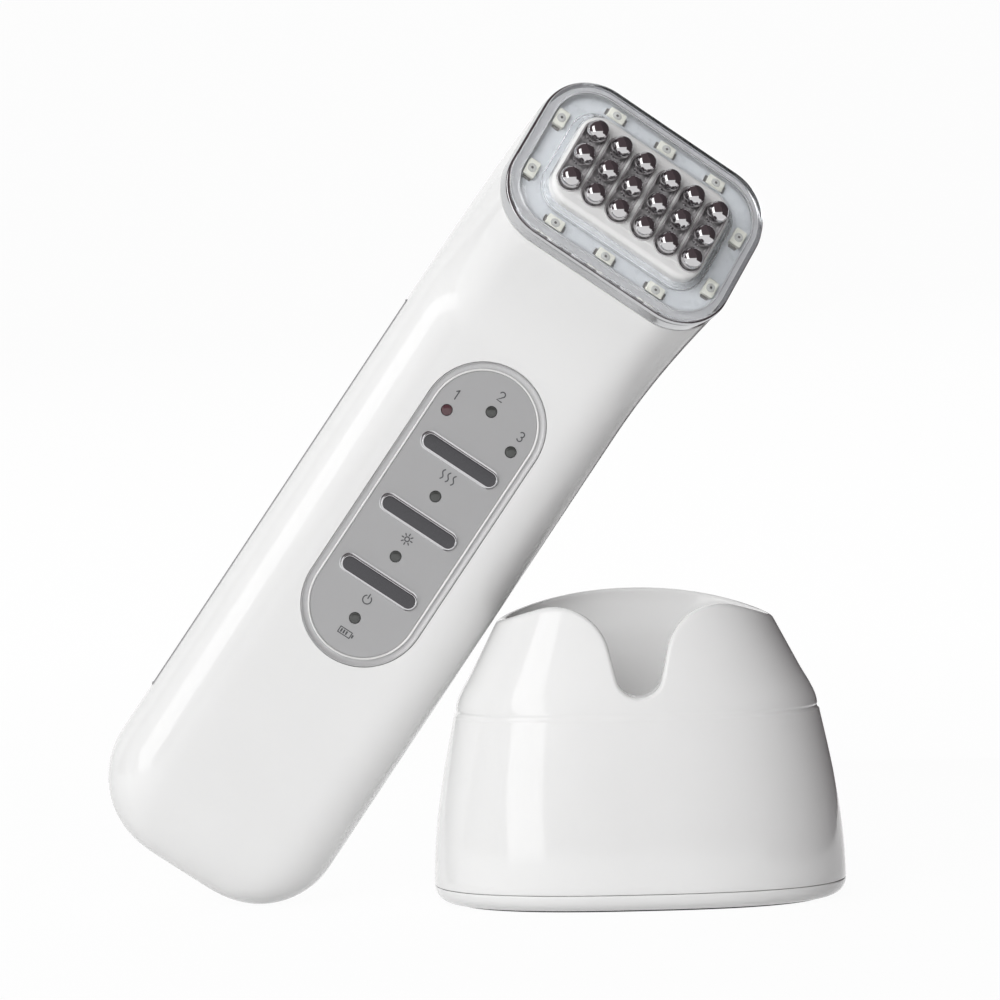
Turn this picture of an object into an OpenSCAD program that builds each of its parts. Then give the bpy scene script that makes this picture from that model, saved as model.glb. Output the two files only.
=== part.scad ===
// Hand-held facial toning device leaning on its charging cradle.
// Frame: origin at the centre of the cradle's underside, +X right, -Y front, +Z up, millimetres.
// The handset is drawn in a frame of its own: origin at the middle of its lower end, X across,
// Y through its thickness with the control panel at -Y, Z along its length.

/* [Handset body] */
// Width of the handset
handle_w = 59.5; // [56:0.5:66]
// Thickness of the handset from front face to back face
handle_t = 30.5; // [29:0.5:36]
// Distance of the flat front face from the handset's own axis
front_y = 12.5; // [11:0.5:15]
// Height at which the straight handle turns into the leaning neck
neck_z = 144; // [143.5:0.5:150]
// Softness of the handle's long corners, 2 is a true arc
corner_soft = 2.4; // [2:0.1:3]
// Wall of the housing and of the rear cover
wall = 2; // [1.6:0.1:2.4]
// Height over which the lower end rounds off
end_h = 20; // [16:1:24]
// How far the lower end draws in at each side
end_in_w = 20; // [16:1:22]
// How far the lower end draws in at the front and at the back
end_in_t = 11; // [7:0.5:11.5]

/* [Treatment head] */
// Angle between the treatment face and a plane across the handset
head_tilt = 64; // [60:1:68]
// Height of the front edge of the housing's mouth
head_z = 170; // [168:0.5:174]
// Distance of that front edge from the handset's own axis
head_y = 26.5; // [24:0.5:28]
// Length of the mouth along the treatment face
head_l = 43.8; // [42:0.2:46]
// Width of the mouth
head_w = 60.5; // [59:0.5:64]
// Corner radius of the mouth and of the chrome band
head_r = 13.5; // [12:0.5:15]
// Height of the chrome band
band_h = 4; // [3:0.2:5]
// Thickness of the chrome band's wall
band_wall = 1.6; // [1.2:0.1:2]
// Height of the clear cover above the chrome band
cover_h = 2; // [1.6:0.1:3]
// Length of the white electrode plate
plate_w = 41.4; // [41:0.1:45]
// Height of the white electrode plate along the treatment face
plate_l = 25; // [24.4:0.1:27]
// Corner radius of the electrode plate
plate_r = 5.6; // [4:0.2:7]
// How far the electrode plate stands above the clear cover
plate_rise = 2; // [1:0.1:3]
// Pitch of the electrode bars
bar_pitch = 6.7; // [6.6:0.05:7.1]
// Extra space between the two groups of three bars
bar_group_gap = 0.4; // [0:0.1:0.8]
// Diameter of one electrode ball
ball_d = 5.3; // [4.6:0.1:5.6]
// Pitch of the balls along a bar
ball_pitch = 7; // [6.4:0.1:7.2]
// Height of the ball centres above the electrode plate
ball_rise = 1.6; // [1:0.1:2]

/* [Control panel] */
// Outer width of the panel's bezel
panel_w = 30.5; // [29.5:0.1:31]
// Length of the panel's straight sides
panel_straight = 50.2; // [49:0.2:51]
// Height of the panel's centre above the handset's lower end
panel_z = 103.2; // [102:0.2:103.6]
// Width of the bezel's ring
bezel_w = 2.3; // [2:0.1:2.6]
// Depth of the panel's recess in the housing
recess_d = 1.2; // [1:0.1:1.4]
// Depth of the plate's face below the housing's front face
plate_sink = 0.6; // [0.4:0.1:0.8]
// Length of a button
button_l = 20.8; // [19:0.1:21.4]
// Height of a button
button_h = 4.2; // [3.6:0.1:4.6]
// How far a button stands above the plate
button_rise = 0.9; // [0.7:0.1:1.4]
// Travel of a button
button_travel = 0.5; // [0.3:0.05:0.6]
// Free space round a button in its slot
button_gap = 0.3; // [0.25:0.05:0.4]
// Height of the level button's centre
level_z = 118.6; // [118:0.1:119]
// Height of the light button's centre
light_z = 101.1; // [100.5:0.1:101.7]
// Height of the power button's centre
power_z = 84.1; // [83.5:0.1:84.7]
// Diameter of an indicator lens
lens_d = 2.55; // [2:0.05:3]
// Half the distance between the outer level lenses
lens_side_x = 9.1; // [8.6:0.1:9.4]
// Height of the outer level lenses
lens_side_z = 126.8; // [126:0.1:127.6]
// Height of the middle level lens
lens_top_z = 132.2; // [131.6:0.1:133]
// Height of the heating lens
lens_heat_z = 108.3; // [107.8:0.1:108.8]
// Height of the light lens
lens_light_z = 91.3; // [90.8:0.1:91.8]
// Height of the charge lens
lens_charge_z = 73.9; // [73:0.1:75]

/* [Inside the handset] */
// Thickness of a circuit board
board_t = 1.6; // [1:0.1:1.6]
// Width of the main board
board_w = 42; // [40:1:44]
// Lower edge of the main board
board_z0 = 50; // [49:0.5:51]
// Length of the main board above the battery cell
board_over = 33; // [32:0.5:34]
// Height of a switch body
switch_h = 2; // [1.6:0.1:2.2]
// Side of a switch body
switch_w = 6; // [5:0.5:7]
// Diameter of a switch plunger
plunger_d = 3.2; // [2.6:0.1:3.4]
// Diameter of the battery cell
cell_d = 18.4; // [18:0.1:18.6]
// Length of the battery cell
cell_l = 65; // [60:1:66]
// Lower end of the battery cell
cell_z0 = 44; // [42:0.5:46]
// Height of the rear opening's lower edge
window_z0 = 33.3; // [30:0.5:36]
// Height of the rear opening's upper edge
window_z1 = 143.3; // [143:0.1:143.4]
// Gap along the rear cover's edge
seam_gap = 0.3; // [0.2:0.05:0.5]
// How far the rear cover lies below the housing's skin
cover_sink = 0.35; // [0.1:0.05:0.5]
// Half the distance between the charging contacts
contact_x = 5.5; // [4:0.5:6]
// Diameter of a charging contact
contact_d = 3; // [2.4:0.1:3.4]

/* [Charging cradle] */
// Half the cradle's width at its foot
foot_a = 49; // [46:0.5:52]
// Half the cradle's depth at its foot
foot_b = 36; // [34:0.5:38]
// Softness of the cradle's outline, 2 is an ellipse
foot_soft = 2.6; // [2.4:0.1:2.8]
// Height of the seam between the base and the shell
seam_z = 4.3; // [4:0.1:5]
// Height of the ledge round the shell
ledge_z = 44; // [42:0.5:46]
// Half width under the ledge
ledge_a = 42.8; // [42:0.2:44]
// Half depth under the ledge
ledge_b = 32.5; // [32:0.2:34]
// Height of the shoulder above the ledge
shoulder_h = 9.4; // [8:0.2:11]
// Half width where the shoulder meets the cone
kink_a = 38.3; // [38:0.1:39]
// Half width of the rim
rim_a = 32.6; // [32.4:0.1:33]
// Half depth of the rim
rim_b = 23; // [22.6:0.1:24]
// Height of the rim at its two sides
rim_z = 67; // [66:0.2:68]
// How far the rim's arch rises above its two sides
rim_rise = 5.8; // [5:0.2:7]
// Wall of the cradle
cradle_wall = 2.1; // [1.8:0.1:2.2]
// Height of the pocket's floor
floor_z = 14; // [13:0.5:16]
// Depth of the notch below the middle of the rim's arch
notch_depth = 23.3; // [21:0.5:24]
// Radius of the notch's lower end
notch_r = 5.4; // [4.6:0.1:5.8]
// Lean of the notch's two sides
notch_slope = 13; // [8:0.5:15]
// Depth below the arch at which the notch's sides turn into its lips
notch_lip_depth = 12.3; // [11:0.5:13]
// Solid left between the notch and the hollow under it
notch_floor = 3.1; // [3:0.1:5]
// Thickness of the rubber pad
pad_t = 1.4; // [1.2:0.1:1.6]
// Diameter of a contact pin
pin_d = 2; // [1.6:0.1:2.4]
// Travel of a contact pin
pin_travel = 1.2; // [0.6:0.1:1.4]
// Running clearance between a moving pin and its bore, all round
pin_gap = 0.05; // [0.02:0.01:0.1]
// Bore of the power inlet
inlet_d = 5.6; // [5.5:0.1:6.5]
// Depth of the power inlet's bore
inlet_depth = 9; // [7:0.5:10]
// Height of the power inlet's axis
inlet_z = 13.4; // [13:0.2:14]

/* [Placement] */
// Lean of the handset from upright, towards the cradle
lean = 34.9; // [33:0.1:37]
// Turn of the handset about its own axis
turn = 7.5; // [4:0.5:10]
// Free space between the handset's flank and the cradle's rim
rest_gap = 0.3; // [0.2:0.05:0.5]

/* [Hidden] */

$fn = 48;
eps = 0.1;                                  // overlap that makes a cut or a joint clean
fit = 0.15;                                 // free space between flat parts of one body
corner_steps = 7;                           // facets in one corner of the handset
end_steps = 7;                              // rings in the handset's rounded lower end
neck_steps = 8;                             // rings in the leaning neck
cradle_steps = 48;                          // facets round the cradle

mid_y = handle_t / 2 - front_y;             // plane in which the handset is widest
head_dir = [cos(head_tilt), sin(head_tilt)];        // up the treatment face, as [y, z]
head_out = [-sin(head_tilt), cos(head_tilt)];       // out of the treatment face, as [y, z]
mouth_front = [-head_y, head_z];
mouth_back = mouth_front + head_l * head_dir;
mouth_mid = (mouth_front + mouth_back) / 2;
neck_front = [-front_y, neck_z];
neck_back = [handle_t - front_y, neck_z];
front_pull = norm(mouth_front - neck_front);        // reach of the neck's front curve
back_pull = 0.8 * norm(mouth_back - neck_back);     // reach of the neck's back curve
front_flare = 40;                           // angle of the front curve where it meets the band
back_flare = 52;                            // angle of the back curve where it meets the band

// ---- outlines and lofts ----

function mix(p, q, s) = p + (q - p) * s;
function soft(c, m) = sign(c) * pow(abs(c), 2 / m);
function curve(p, tp, q, tq, s) =
    p * (2 * pow(s, 3) - 3 * pow(s, 2) + 1) + tp * (pow(s, 3) - 2 * pow(s, 2) + s)
    + q * (3 * pow(s, 2) - 2 * pow(s, 3)) + tq * (pow(s, 3) - pow(s, 2));

// Box of half sizes a and b whose corners of radius r have the softness m
function soft_box(a, b, r, m) = [
    for (q = [0:3], k = [0:corner_steps])
        let (c = min(r, 0.97 * b), u = 90 * (q + k / corner_steps),
             sx = (q == 0 || q == 3) ? 1 : -1, sy = q < 2 ? 1 : -1)
            [sx * (a - c) + c * soft(cos(u), m), sy * (b - c) + c * soft(sin(u), m)]];

// Ring of the handset between its front point and its back point, both as [y, z]
function section(front, back, a, r, m, inset) =
    let (span = norm(back - front), dir = (back - front) / span, mid = (front + back) / 2)
    [for (p = soft_box(a - inset, span / 2 - inset, r - inset, m))
        [p[0], mid[0] + dir[0] * p[1], mid[1] + dir[1] * p[1]]];

// Rings of the handset's skin, or of a surface lying inset below it
function handset_rings(inset) = concat(
    [for (k = [0:end_steps])
        let (u = 90 * k / end_steps,
             b = handle_t / 2 - inset - (end_in_t - inset) * (1 - sin(u)),
             a = handle_w / 2 - inset - (end_in_w - inset) * (1 - sin(u)),
             z = inset + (end_h - inset) * (1 - cos(u)))
            section([mid_y - b, z], [mid_y + b, z], a, handle_t / 2 - inset, corner_soft, 0)],
    [for (k = [0:neck_steps])
        let (s = k / neck_steps)
            section(curve(neck_front, [0, front_pull], mouth_front,
                          front_pull * [-sin(front_flare), cos(front_flare)], s),
                    curve(neck_back, [0, back_pull], mouth_back,
                          back_pull * [-sin(back_flare), cos(back_flare)], s),
                    mix(handle_w, head_w, s) / 2, mix(handle_t / 2, head_r, s),
                    mix(corner_soft, 2, s), inset)]);

// Solid through a list of rings, closed at the first and the last
module loft(rings) {
    n = len(rings[0]);
    last = len(rings) - 1;
    polyhedron(
        points = [for (ring = rings) each ring],
        faces = concat(
            [[for (i = [0:n - 1]) i]],
            [for (k = [0:last - 1], i = [0:n - 1])
                each let (j = (i + 1) % n)
                    [[k * n + i, (k + 1) * n + i, (k + 1) * n + j],
                     [k * n + i, (k + 1) * n + j, k * n + j]]],
            [[for (i = [0:n - 1]) last * n + n - 1 - i]]));
}

function flip(list) = [for (i = [len(list) - 1:-1:0]) list[i]];

module stadium(l, h) {
    square([l - h, h], center = true);
    for (s = [-1, 1]) translate([s * (l - h) / 2, 0]) circle(d = h);
}

module rounded(w, l, r) {
    square([w - 2 * r, l], center = true);
    square([w, l - 2 * r], center = true);
    for (x = [-1, 1], y = [-1, 1])
        translate([x * (w / 2 - r), y * (l / 2 - r)]) circle(r = r);
}

module screw(head_d, head_h, shank_d, shank_l) {
    cylinder(d = head_d, h = head_h);
    translate([0, 0, -shank_l]) cylinder(d = shank_d, h = shank_l + eps);
}

// ---- where things sit ----

// Height of the handset's lowest point below its origin when it leans
function leaning_z(p) =
    let (x = p[0] * cos(turn) - p[1] * sin(turn)) p[2] * cos(lean) - x * sin(lean);
handset_z = -min([for (ring = handset_rings(0), p = ring) leaning_z(p)]);
handset_x = -rim_a - (handle_w / 2 + rest_gap + (rim_z - handset_z) * sin(lean)) / cos(lean);

module on_rest() {
    translate([handset_x, 0, handset_z]) rotate([0, lean, 0]) rotate([0, 0, turn]) children();
}

// Drawn as the panel is looked at, at depth d below the front face, rising towards the eye
module on_front(d) {
    translate([0, d - front_y, 0]) rotate([90, 0, 0]) children();
}

// Drawn as the treatment face is looked at, at height h above the housing's mouth
module on_head(h) {
    translate([0, mouth_mid[0], mouth_mid[1]]) rotate([head_tilt, 0, 0])
        translate([0, 0, h]) children();
}

// ---- the handset's housing ----

flange_t = 0.8;                             // flange that keeps a button in
flange_gap = 0.1;                           // between that flange and the wall
flange_lip = 1;                             // how far it reaches past the slot
switch_room = 1.6;                          // from a button's flange to its switch
board_d = wall + flange_gap + flange_t + switch_room + switch_h;    // main board's front face
board_z1 = cell_z0 + cell_l + board_over;   // the main board's upper edge
screw_x = 17.5;                             // board screws, from the middle
screw_in = 4;                               // from the board's edge to a screw
screw_zs = [board_z0 + screw_in, board_z1 - screw_in];
boss_d = 5;
thread_d = 2;

module panel_outline(grow) {
    for (s = [-1, 1]) translate([0, s * panel_straight / 2]) circle(d = panel_w + 2 * grow);
    square([panel_w + 2 * grow, panel_straight], center = true);
}

button_zs = [level_z, light_z, power_z];
lens_spots = [[-lens_side_x, lens_side_z], [0, lens_top_z], [lens_side_x, lens_side_z],
    [0, lens_heat_z], [0, lens_light_z], [0, lens_charge_z]];

module housing() {
    color("white") on_rest() {
        difference() {
            loft(concat(handset_rings(0), flip(handset_rings(wall))));
            on_front(recess_d) linear_extrude(recess_d + 1)
                translate([0, panel_z]) panel_outline(0);
            for (z = button_zs) on_front(wall + eps) linear_extrude(wall)
                translate([0, z]) stadium(button_l + 2 * button_gap, button_h + 2 * button_gap);
            for (p = lens_spots) on_front(wall + eps) linear_extrude(wall)
                translate(p) circle(d = lens_d + 2 * fit);
            translate([-handle_w, mid_y, window_z0])
                cube([2 * handle_w, handle_w, window_z1 - window_z0]);
            for (s = [-1, 1]) translate([s * contact_x, mid_y, -eps])
                cylinder(d = contact_d + 2 * fit, h = wall + 2 * eps);
        }
        for (x = [-screw_x, screw_x], z = screw_zs) on_front(board_d) translate([x, z, 0])
            difference() {
                cylinder(d = boss_d, h = board_d - wall + 0.5);
                translate([0, 0, -eps]) cylinder(d = thread_d, h = board_d - wall);
            }
    }
}

// Section of the handle, inset below its skin
module handle_section(inset) {
    translate([0, mid_y]) polygon(soft_box(handle_w / 2 - inset, handle_t / 2 - inset,
        handle_t / 2 - inset, corner_soft));
}

lip_t = 1.2;                                // thickness of the cover's lip
lip_h = 2.5;                                // how far the lip reaches into the housing
module band_section(outer, inner, y0, y1) {
    intersection() {
        difference() {
            handle_section(outer);
            handle_section(inner);
        }
        translate([-handle_w / 2, y0]) square([handle_w, y1 - y0]);
    }
}

module rear_cover() {
    z0 = window_z0 + seam_gap;
    z1 = window_z1 - seam_gap;
    tab_w = 16;
    tab_l = 4;
    color("whitesmoke") on_rest() {
        translate([0, 0, z0]) linear_extrude(z1 - z0) {
            band_section(cover_sink, wall, mid_y + seam_gap, handle_t);
            band_section(wall - eps, wall + lip_t, mid_y + seam_gap, mid_y + 4);
            band_section(wall + fit, wall + lip_t, mid_y - lip_h, mid_y + 1);
        }
        for (z = [z0 - tab_l, z1 - tab_l])
            translate([-tab_w / 2, handle_t - front_y - wall - fit - lip_t, z])
                cube([tab_w, lip_t, 2 * tab_l]);
        for (z = [z0, z1 - tab_l])
            translate([-tab_w / 2, handle_t - front_y - wall - fit - eps, z])
                cube([tab_w, fit + 2 * eps, tab_l]);
    }
}

// ---- the control panel ----

// The bezel's profile, from its outer edge inwards, as [distance from the arc's centre, height]
module bezel_profile() {
    r1 = panel_w / 2 - fit;
    r0 = panel_w / 2 - bezel_w;
    polygon([[r1, 0], [r1, recess_d - 0.1], [r1 - 0.45, recess_d - 0.1],
        [r0 + 0.7, recess_d - plate_sink - 0.1], [r0 + 0.45, recess_d - plate_sink + 0.15],
        [r0 + 0.15, recess_d - plate_sink + 0.15], [r0, recess_d - plate_sink], [r0, 0]]);
}

module panel_bezel() {
    color("silver") on_rest() on_front(recess_d) translate([0, panel_z, 0]) {
        for (s = [0, 1]) rotate([0, 0, 180 * s]) {
            translate([0, panel_straight / 2, 0]) rotate_extrude(angle = 180) bezel_profile();
            translate([0, panel_straight / 2, 0]) rotate([90, 0, 0])
                linear_extrude(panel_straight) bezel_profile();
        }
    }
}

module panel_plate() {
    color("darkgray") on_rest() on_front(recess_d) linear_extrude(recess_d - plate_sink)
        difference() {
            translate([0, panel_z]) panel_outline(-bezel_w - fit / 3);
            for (z = button_zs) translate([0, z])
                stadium(button_l + 2 * button_gap, button_h + 2 * button_gap);
            for (p = lens_spots) translate(p) circle(d = lens_d + 2 * fit);
        }
}

cap_bevel = 0.35;                           // bright edge round a button's top

module button(z) {
    body_h = wall - plate_sink + button_rise;
    color("dimgray") on_rest() on_front(wall + flange_gap + flange_t) translate([0, z, 0]) {
        linear_extrude(flange_t)
            stadium(button_l + 2 * flange_lip, button_h + 2 * flange_lip);
        linear_extrude(flange_t + flange_gap + body_h - cap_bevel) stadium(button_l, button_h);
        linear_extrude(flange_t + flange_gap + body_h)
            stadium(button_l - 2 * cap_bevel, button_h - 2 * cap_bevel);
    }
}

module plunger(z) {
    top_d = wall + flange_gap + flange_t;
    foot_d = board_d - button_travel - 0.3;
    color("black") on_rest() on_front(foot_d) translate([0, z, 0])
        cylinder(d = plunger_d, h = foot_d - top_d);
}

led_h = 0.8;                                // height of an indicator light
module lens(p) {
    light_gap = 0.3;
    pipe_end = board_d - led_h - light_gap;
    collar_t = 0.8;
    color("dimgray") on_rest() {
        on_front(pipe_end) translate([p[0], p[1], 0])
            cylinder(d = lens_d, h = pipe_end - plate_sink + 0.1);
        on_front(wall + fit + collar_t) translate([p[0], p[1], 0])
            cylinder(d = lens_d + 1, h = collar_t);
    }
}

// ---- inside the handset ----

board_y = board_d - front_y;                // the main board's front face
back_y = board_y + board_t;                 // and its back face

module main_board() {
    color("green") on_rest() difference() {
        translate([-board_w / 2, board_y, board_z0])
            cube([board_w, board_t, board_z1 - board_z0]);
        for (x = [-screw_x, screw_x], z = screw_zs) on_front(board_d + board_t + eps)
            translate([x, z, 0]) cylinder(d = thread_d + 2 * fit, h = board_t + 2 * eps);
    }
}

module switch_bases() {
    color("black") on_rest() for (z = button_zs) on_front(board_d) translate([0, z, 0])
        difference() {
            translate([-switch_w / 2, -switch_w / 2, 0]) cube([switch_w, switch_w, switch_h]);
            translate([0, 0, 0.2]) cylinder(d = plunger_d + 2 * pin_gap, h = switch_h);
        }
}

module indicator_leds() {
    led_w = 2;
    color("ivory") on_rest() for (p = lens_spots) on_front(board_d)
        translate([p[0] - led_w / 2, p[1] - led_w / 2, 0]) cube([led_w, led_w, led_h]);
}

module board_screws() {
    head_h = 1.4;
    color("silver") on_rest() for (x = [-screw_x, screw_x], z = screw_zs)
        translate([x, back_y, z]) rotate([-90, 0, 0])
            screw(2 * thread_d, head_h, thread_d - 0.1, board_t + 4);
}

cell_y = back_y + 0.6 + cell_d / 2;         // axis of the battery cell

module battery_cell() {
    nub_d = 6;
    nub_h = 1;
    color("steelblue") on_rest() translate([0, cell_y, cell_z0]) {
        cylinder(d = cell_d, h = cell_l - nub_h);
        cylinder(d = nub_d, h = cell_l);
    }
}

module battery_holder() {
    side = 1.2;
    clear = 0.3;
    end_t = 1.5;
    half = cell_d / 2 + clear;
    z0 = cell_z0 - clear - end_t;
    length = cell_l + 2 * (clear + end_t);
    color("black") on_rest() {
        for (s = [-1, 1]) translate([s * (half + side / 2) - side / 2, back_y, z0])
            cube([side, cell_d / 2, length]);
        for (z = [z0, z0 + length - end_t])
            translate([-half - side, back_y, z]) cube([2 * (half + side), cell_d * 0.7, end_t]);
    }
}

module rf_transformer() {
    core_w = 16;
    core_h = 14;
    core_l = 16;
    core_gap = 6;                           // above the battery cell
    coil_d = 12;
    z0 = cell_z0 + cell_l + core_gap;
    color("darkgoldenrod") on_rest() {
        translate([-core_w / 2 + 3, back_y, z0]) cube([core_w, 3, core_l]);
        translate([-core_w / 2 + 3, back_y + core_h - 3, z0]) cube([core_w, 3, core_l]);
        translate([3, back_y + core_h / 2, z0 + core_l / 2]) rotate([90, 0, 0])
            cylinder(d = coil_d, h = core_h - 2, center = true);
    }
}

module power_choke() {
    choke_d = 8;
    choke_h = 7;
    choke_x = 12;
    choke_gap = 10;                         // above the battery cell
    choke_z = cell_z0 + cell_l + choke_gap + choke_d / 2;
    color("saddlebrown") on_rest() translate([-choke_x, back_y, choke_z])
        rotate([-90, 0, 0]) cylinder(d = choke_d, h = choke_h);
}

module charge_contacts() {
    head_h = 1;
    shank = 2.2;
    color("gold") on_rest() for (s = [-1, 1]) translate([s * contact_x, mid_y, 0]) {
        cylinder(d = contact_d, h = wall);
        translate([0, 0, wall]) cylinder(d = contact_d + 1.4, h = head_h);
        translate([0, 0, wall]) cylinder(d = contact_d / 2, h = head_h + shank);
    }
}

// ---- the treatment head, built up from the housing's mouth ----

gasket_t = 0.3;
shelf_t = 1.2;                              // shelf inside the chrome band
shelf_w = 6;                                // how far the shelf reaches in from the band's edge
band_top = gasket_t + band_h;
cover_top = band_top + cover_h;
plate_top = cover_top + plate_rise;
led_board_t = 1;
led_floor = gasket_t + shelf_t + led_board_t;       // face of the board that carries the LEDs
cover_t = 1.3;                              // thickness of the clear cover's roof
collar_gap = 0.3;                           // between the electrode plate and the cover's collar
flange_h = 1.2;                             // carrier's flange under the shelf
head_screw_d = 1.8;

module head_ring(h, inset, hole_w, hole_l, hole_r) {
    linear_extrude(h) difference() {
        rounded(head_w - 2 * inset, head_l - 2 * inset, head_r - inset);
        rounded(hole_w, hole_l, hole_r);
    }
}

shelf_hole = [head_w - 2 * shelf_w, head_l - 2 * shelf_w, head_r - shelf_w];
head_screw_in = 4.2;                        // from the band's corner to a screw's axis
head_screw_x = head_w / 2 - head_r + (head_r - head_screw_in) * cos(45);
head_screw_y = head_l / 2 - head_r + (head_r - head_screw_in) * sin(45);

module at_head_screws() {
    for (x = [-1, 1], y = [-1, 1]) translate([x * head_screw_x, y * head_screw_y, 0]) children();
}

module head_gasket() {
    color("black") on_rest() on_head(0)
        head_ring(gasket_t, 0.4, head_w - 2 * wall, head_l - 2 * wall, head_r - wall);
}

module chrome_ring() {
    color("gainsboro") on_rest() on_head(gasket_t) difference() {
        union() {
            head_ring(band_h, 0, head_w - 2 * band_wall, head_l - 2 * band_wall,
                head_r - band_wall);
            head_ring(shelf_t, band_wall - eps, shelf_hole[0], shelf_hole[1], shelf_hole[2]);
        }
        at_head_screws() translate([0, 0, -eps])
            cylinder(d = head_screw_d, h = shelf_t + 2 * eps);
    }
}

collar_w = plate_w + 2 * collar_gap;        // inner size of the clear cover's collar
collar_l = plate_l + 2 * collar_gap;
collar_r = plate_r + collar_gap;
collar_t = 1.1;                             // thickness of that collar

module led_board() {
    color("lightgray") on_rest() on_head(gasket_t + shelf_t)
        head_ring(led_board_t, band_wall + fit, collar_w - fit, collar_l - fit, collar_r);
}

led_w = 4.4;                                // body of one infrared LED
led_l = 3.2;
led_t = 1.7;
led_row_x = 14.1;                           // outer LEDs of the upper and the lower row
led_side_y = 7.7;                           // LEDs at the two sides
led_edge = (head_l / 2 - band_wall + plate_l / 2 + collar_t) / 2 + 0.1;
led_side_x = (head_w / 2 - band_wall + plate_w / 2 + collar_t) / 2 + 0.1;

module infrared_leds() {
    color("ivory") on_rest() on_head(led_floor) {
        for (x = [-led_row_x, 0, led_row_x], y = [-led_edge, led_edge])
            translate([x - led_w / 2, y - led_l / 2, 0]) cube([led_w, led_l, led_t]);
        for (x = [-led_side_x, led_side_x], y = [-led_side_y, led_side_y])
            translate([x - led_l / 2, y - led_w / 2, 0]) cube([led_l, led_w, led_t]);
    }
}

module clear_cover() {
    color("lightcyan", 0.4) on_rest() {
        on_head(cover_top - cover_t)
            head_ring(cover_t, 0.3, collar_w, collar_l, collar_r);
        on_head(band_top)
            head_ring(cover_h - cover_t + eps, 0.3, head_w - 2 * band_wall - 1,
                head_l - 2 * band_wall - 1, head_r - band_wall - 0.5);
        on_head(led_floor) linear_extrude(cover_top - led_floor - eps) difference() {
            rounded(collar_w + 2 * collar_t, collar_l + 2 * collar_t, collar_r + collar_t);
            rounded(collar_w, collar_l, collar_r);
        }
    }
}

carrier_h = 3;                              // how deep the carrier's box reaches into the mouth
carrier_wall = 1.6;
slot_floor = 3.4;                           // thickness of the electrode plate under its slots

module head_carrier() {
    flange_top = gasket_t;
    color("whitesmoke") on_rest() {
        on_head(flange_top - flange_h) difference() {
            head_ring(flange_h, wall + 1, plate_w - 2 * carrier_wall,
                plate_l - 2 * carrier_wall, plate_r - carrier_wall);
            at_head_screws() translate([0, 0, -eps])
                cylinder(d = head_screw_d + 2 * fit, h = flange_h + 2 * eps);
        }
        on_head(-carrier_h) linear_extrude(carrier_h + led_floor) difference() {
            rounded(plate_w, plate_l, plate_r);
            rounded(plate_w - 2 * carrier_wall, plate_l - 2 * carrier_wall,
                plate_r - carrier_wall);
        }
    }
}

module head_screws() {
    head_h = 1.2;
    color("silver") on_rest() on_head(gasket_t - flange_h) at_head_screws()
        rotate([180, 0, 0]) screw(head_screw_d + 1, head_h, head_screw_d - 0.1,
            flange_h + shelf_t - 0.1);
}

slot_w = 6.2;                               // slot of one electrode bar
slot_l = 2 * ball_pitch + slot_w;
slot_wall = 0.45;                           // trough that lines the slot
slot_fit = 0.05;
function bar_x(i) = (i - 3.5) * bar_pitch + sign(i - 3.5) * bar_group_gap / 2;
pin_w = 1.6;

module electrode_plate() {
    color("white") on_rest() on_head(led_floor) difference() {
        linear_extrude(plate_top - led_floor) rounded(plate_w, plate_l, plate_r);
        for (i = [1:6]) translate([bar_x(i), 0, slot_floor]) rotate([0, 0, 90])
            linear_extrude(plate_top) stadium(slot_l, slot_w);
        for (i = [1:6]) translate([bar_x(i), 0, -eps])
            cylinder(d = pin_w + 2 * slot_fit, h = slot_floor + 2 * eps);
    }
}

module electrode_bar(i) {
    floor_h = led_floor + slot_floor;
    neck_d = 2.6;
    color("silver") on_rest() on_head(floor_h) translate([bar_x(i), 0, 0]) {
        difference() {
            rotate([0, 0, 90]) linear_extrude(plate_top - floor_h - 0.2)
                stadium(slot_l - 2 * slot_fit, slot_w - 2 * slot_fit);
            translate([0, 0, slot_wall]) rotate([0, 0, 90]) linear_extrude(plate_top)
                stadium(slot_l - 2 * slot_wall, slot_w - 2 * slot_wall);
        }
        for (k = [-1:1]) translate([0, k * ball_pitch, 0]) {
            cylinder(d = neck_d, h = plate_top - floor_h + ball_rise);
            translate([0, 0, plate_top - floor_h + ball_rise]) sphere(d = ball_d);
        }
    }
}

module electrode_pins() {
    tail = 4;
    color("gold") on_rest() on_head(led_floor - tail) for (i = [1:6])
        translate([bar_x(i), 0, 0]) cylinder(d = pin_w, h = slot_floor + tail);
}

// Ribbon from the main board's top to the electrode pins
module head_flex() {
    ribbon_w = 12;
    ribbon_t = 0.3;
    hold = 6;                               // stretch that is soldered to the board
    rise = 14;                              // from the board's top to the ribbon's bend
    pad = 8;                                // half the stretch under the electrode pins
    start = [back_y, board_z1 - hold];
    bend = [back_y, board_z1 + rise];
    tip = mouth_mid + (led_floor - 4 - ribbon_t) * head_out;
    half = pad * head_dir;
    color("peru") on_rest() rotate([90, 0, 90]) linear_extrude(ribbon_w, center = true) {
        polygon([start, start + [ribbon_t, 0], bend + [ribbon_t, 0], bend]);
        polygon([bend, bend + [ribbon_t, 0], tip + [0, 0], tip + ribbon_t * head_out]);
        polygon([tip - half, tip + half, tip + half + ribbon_t * head_out,
            tip - half + ribbon_t * head_out]);
    }
}

// ---- the charging cradle ----

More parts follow.
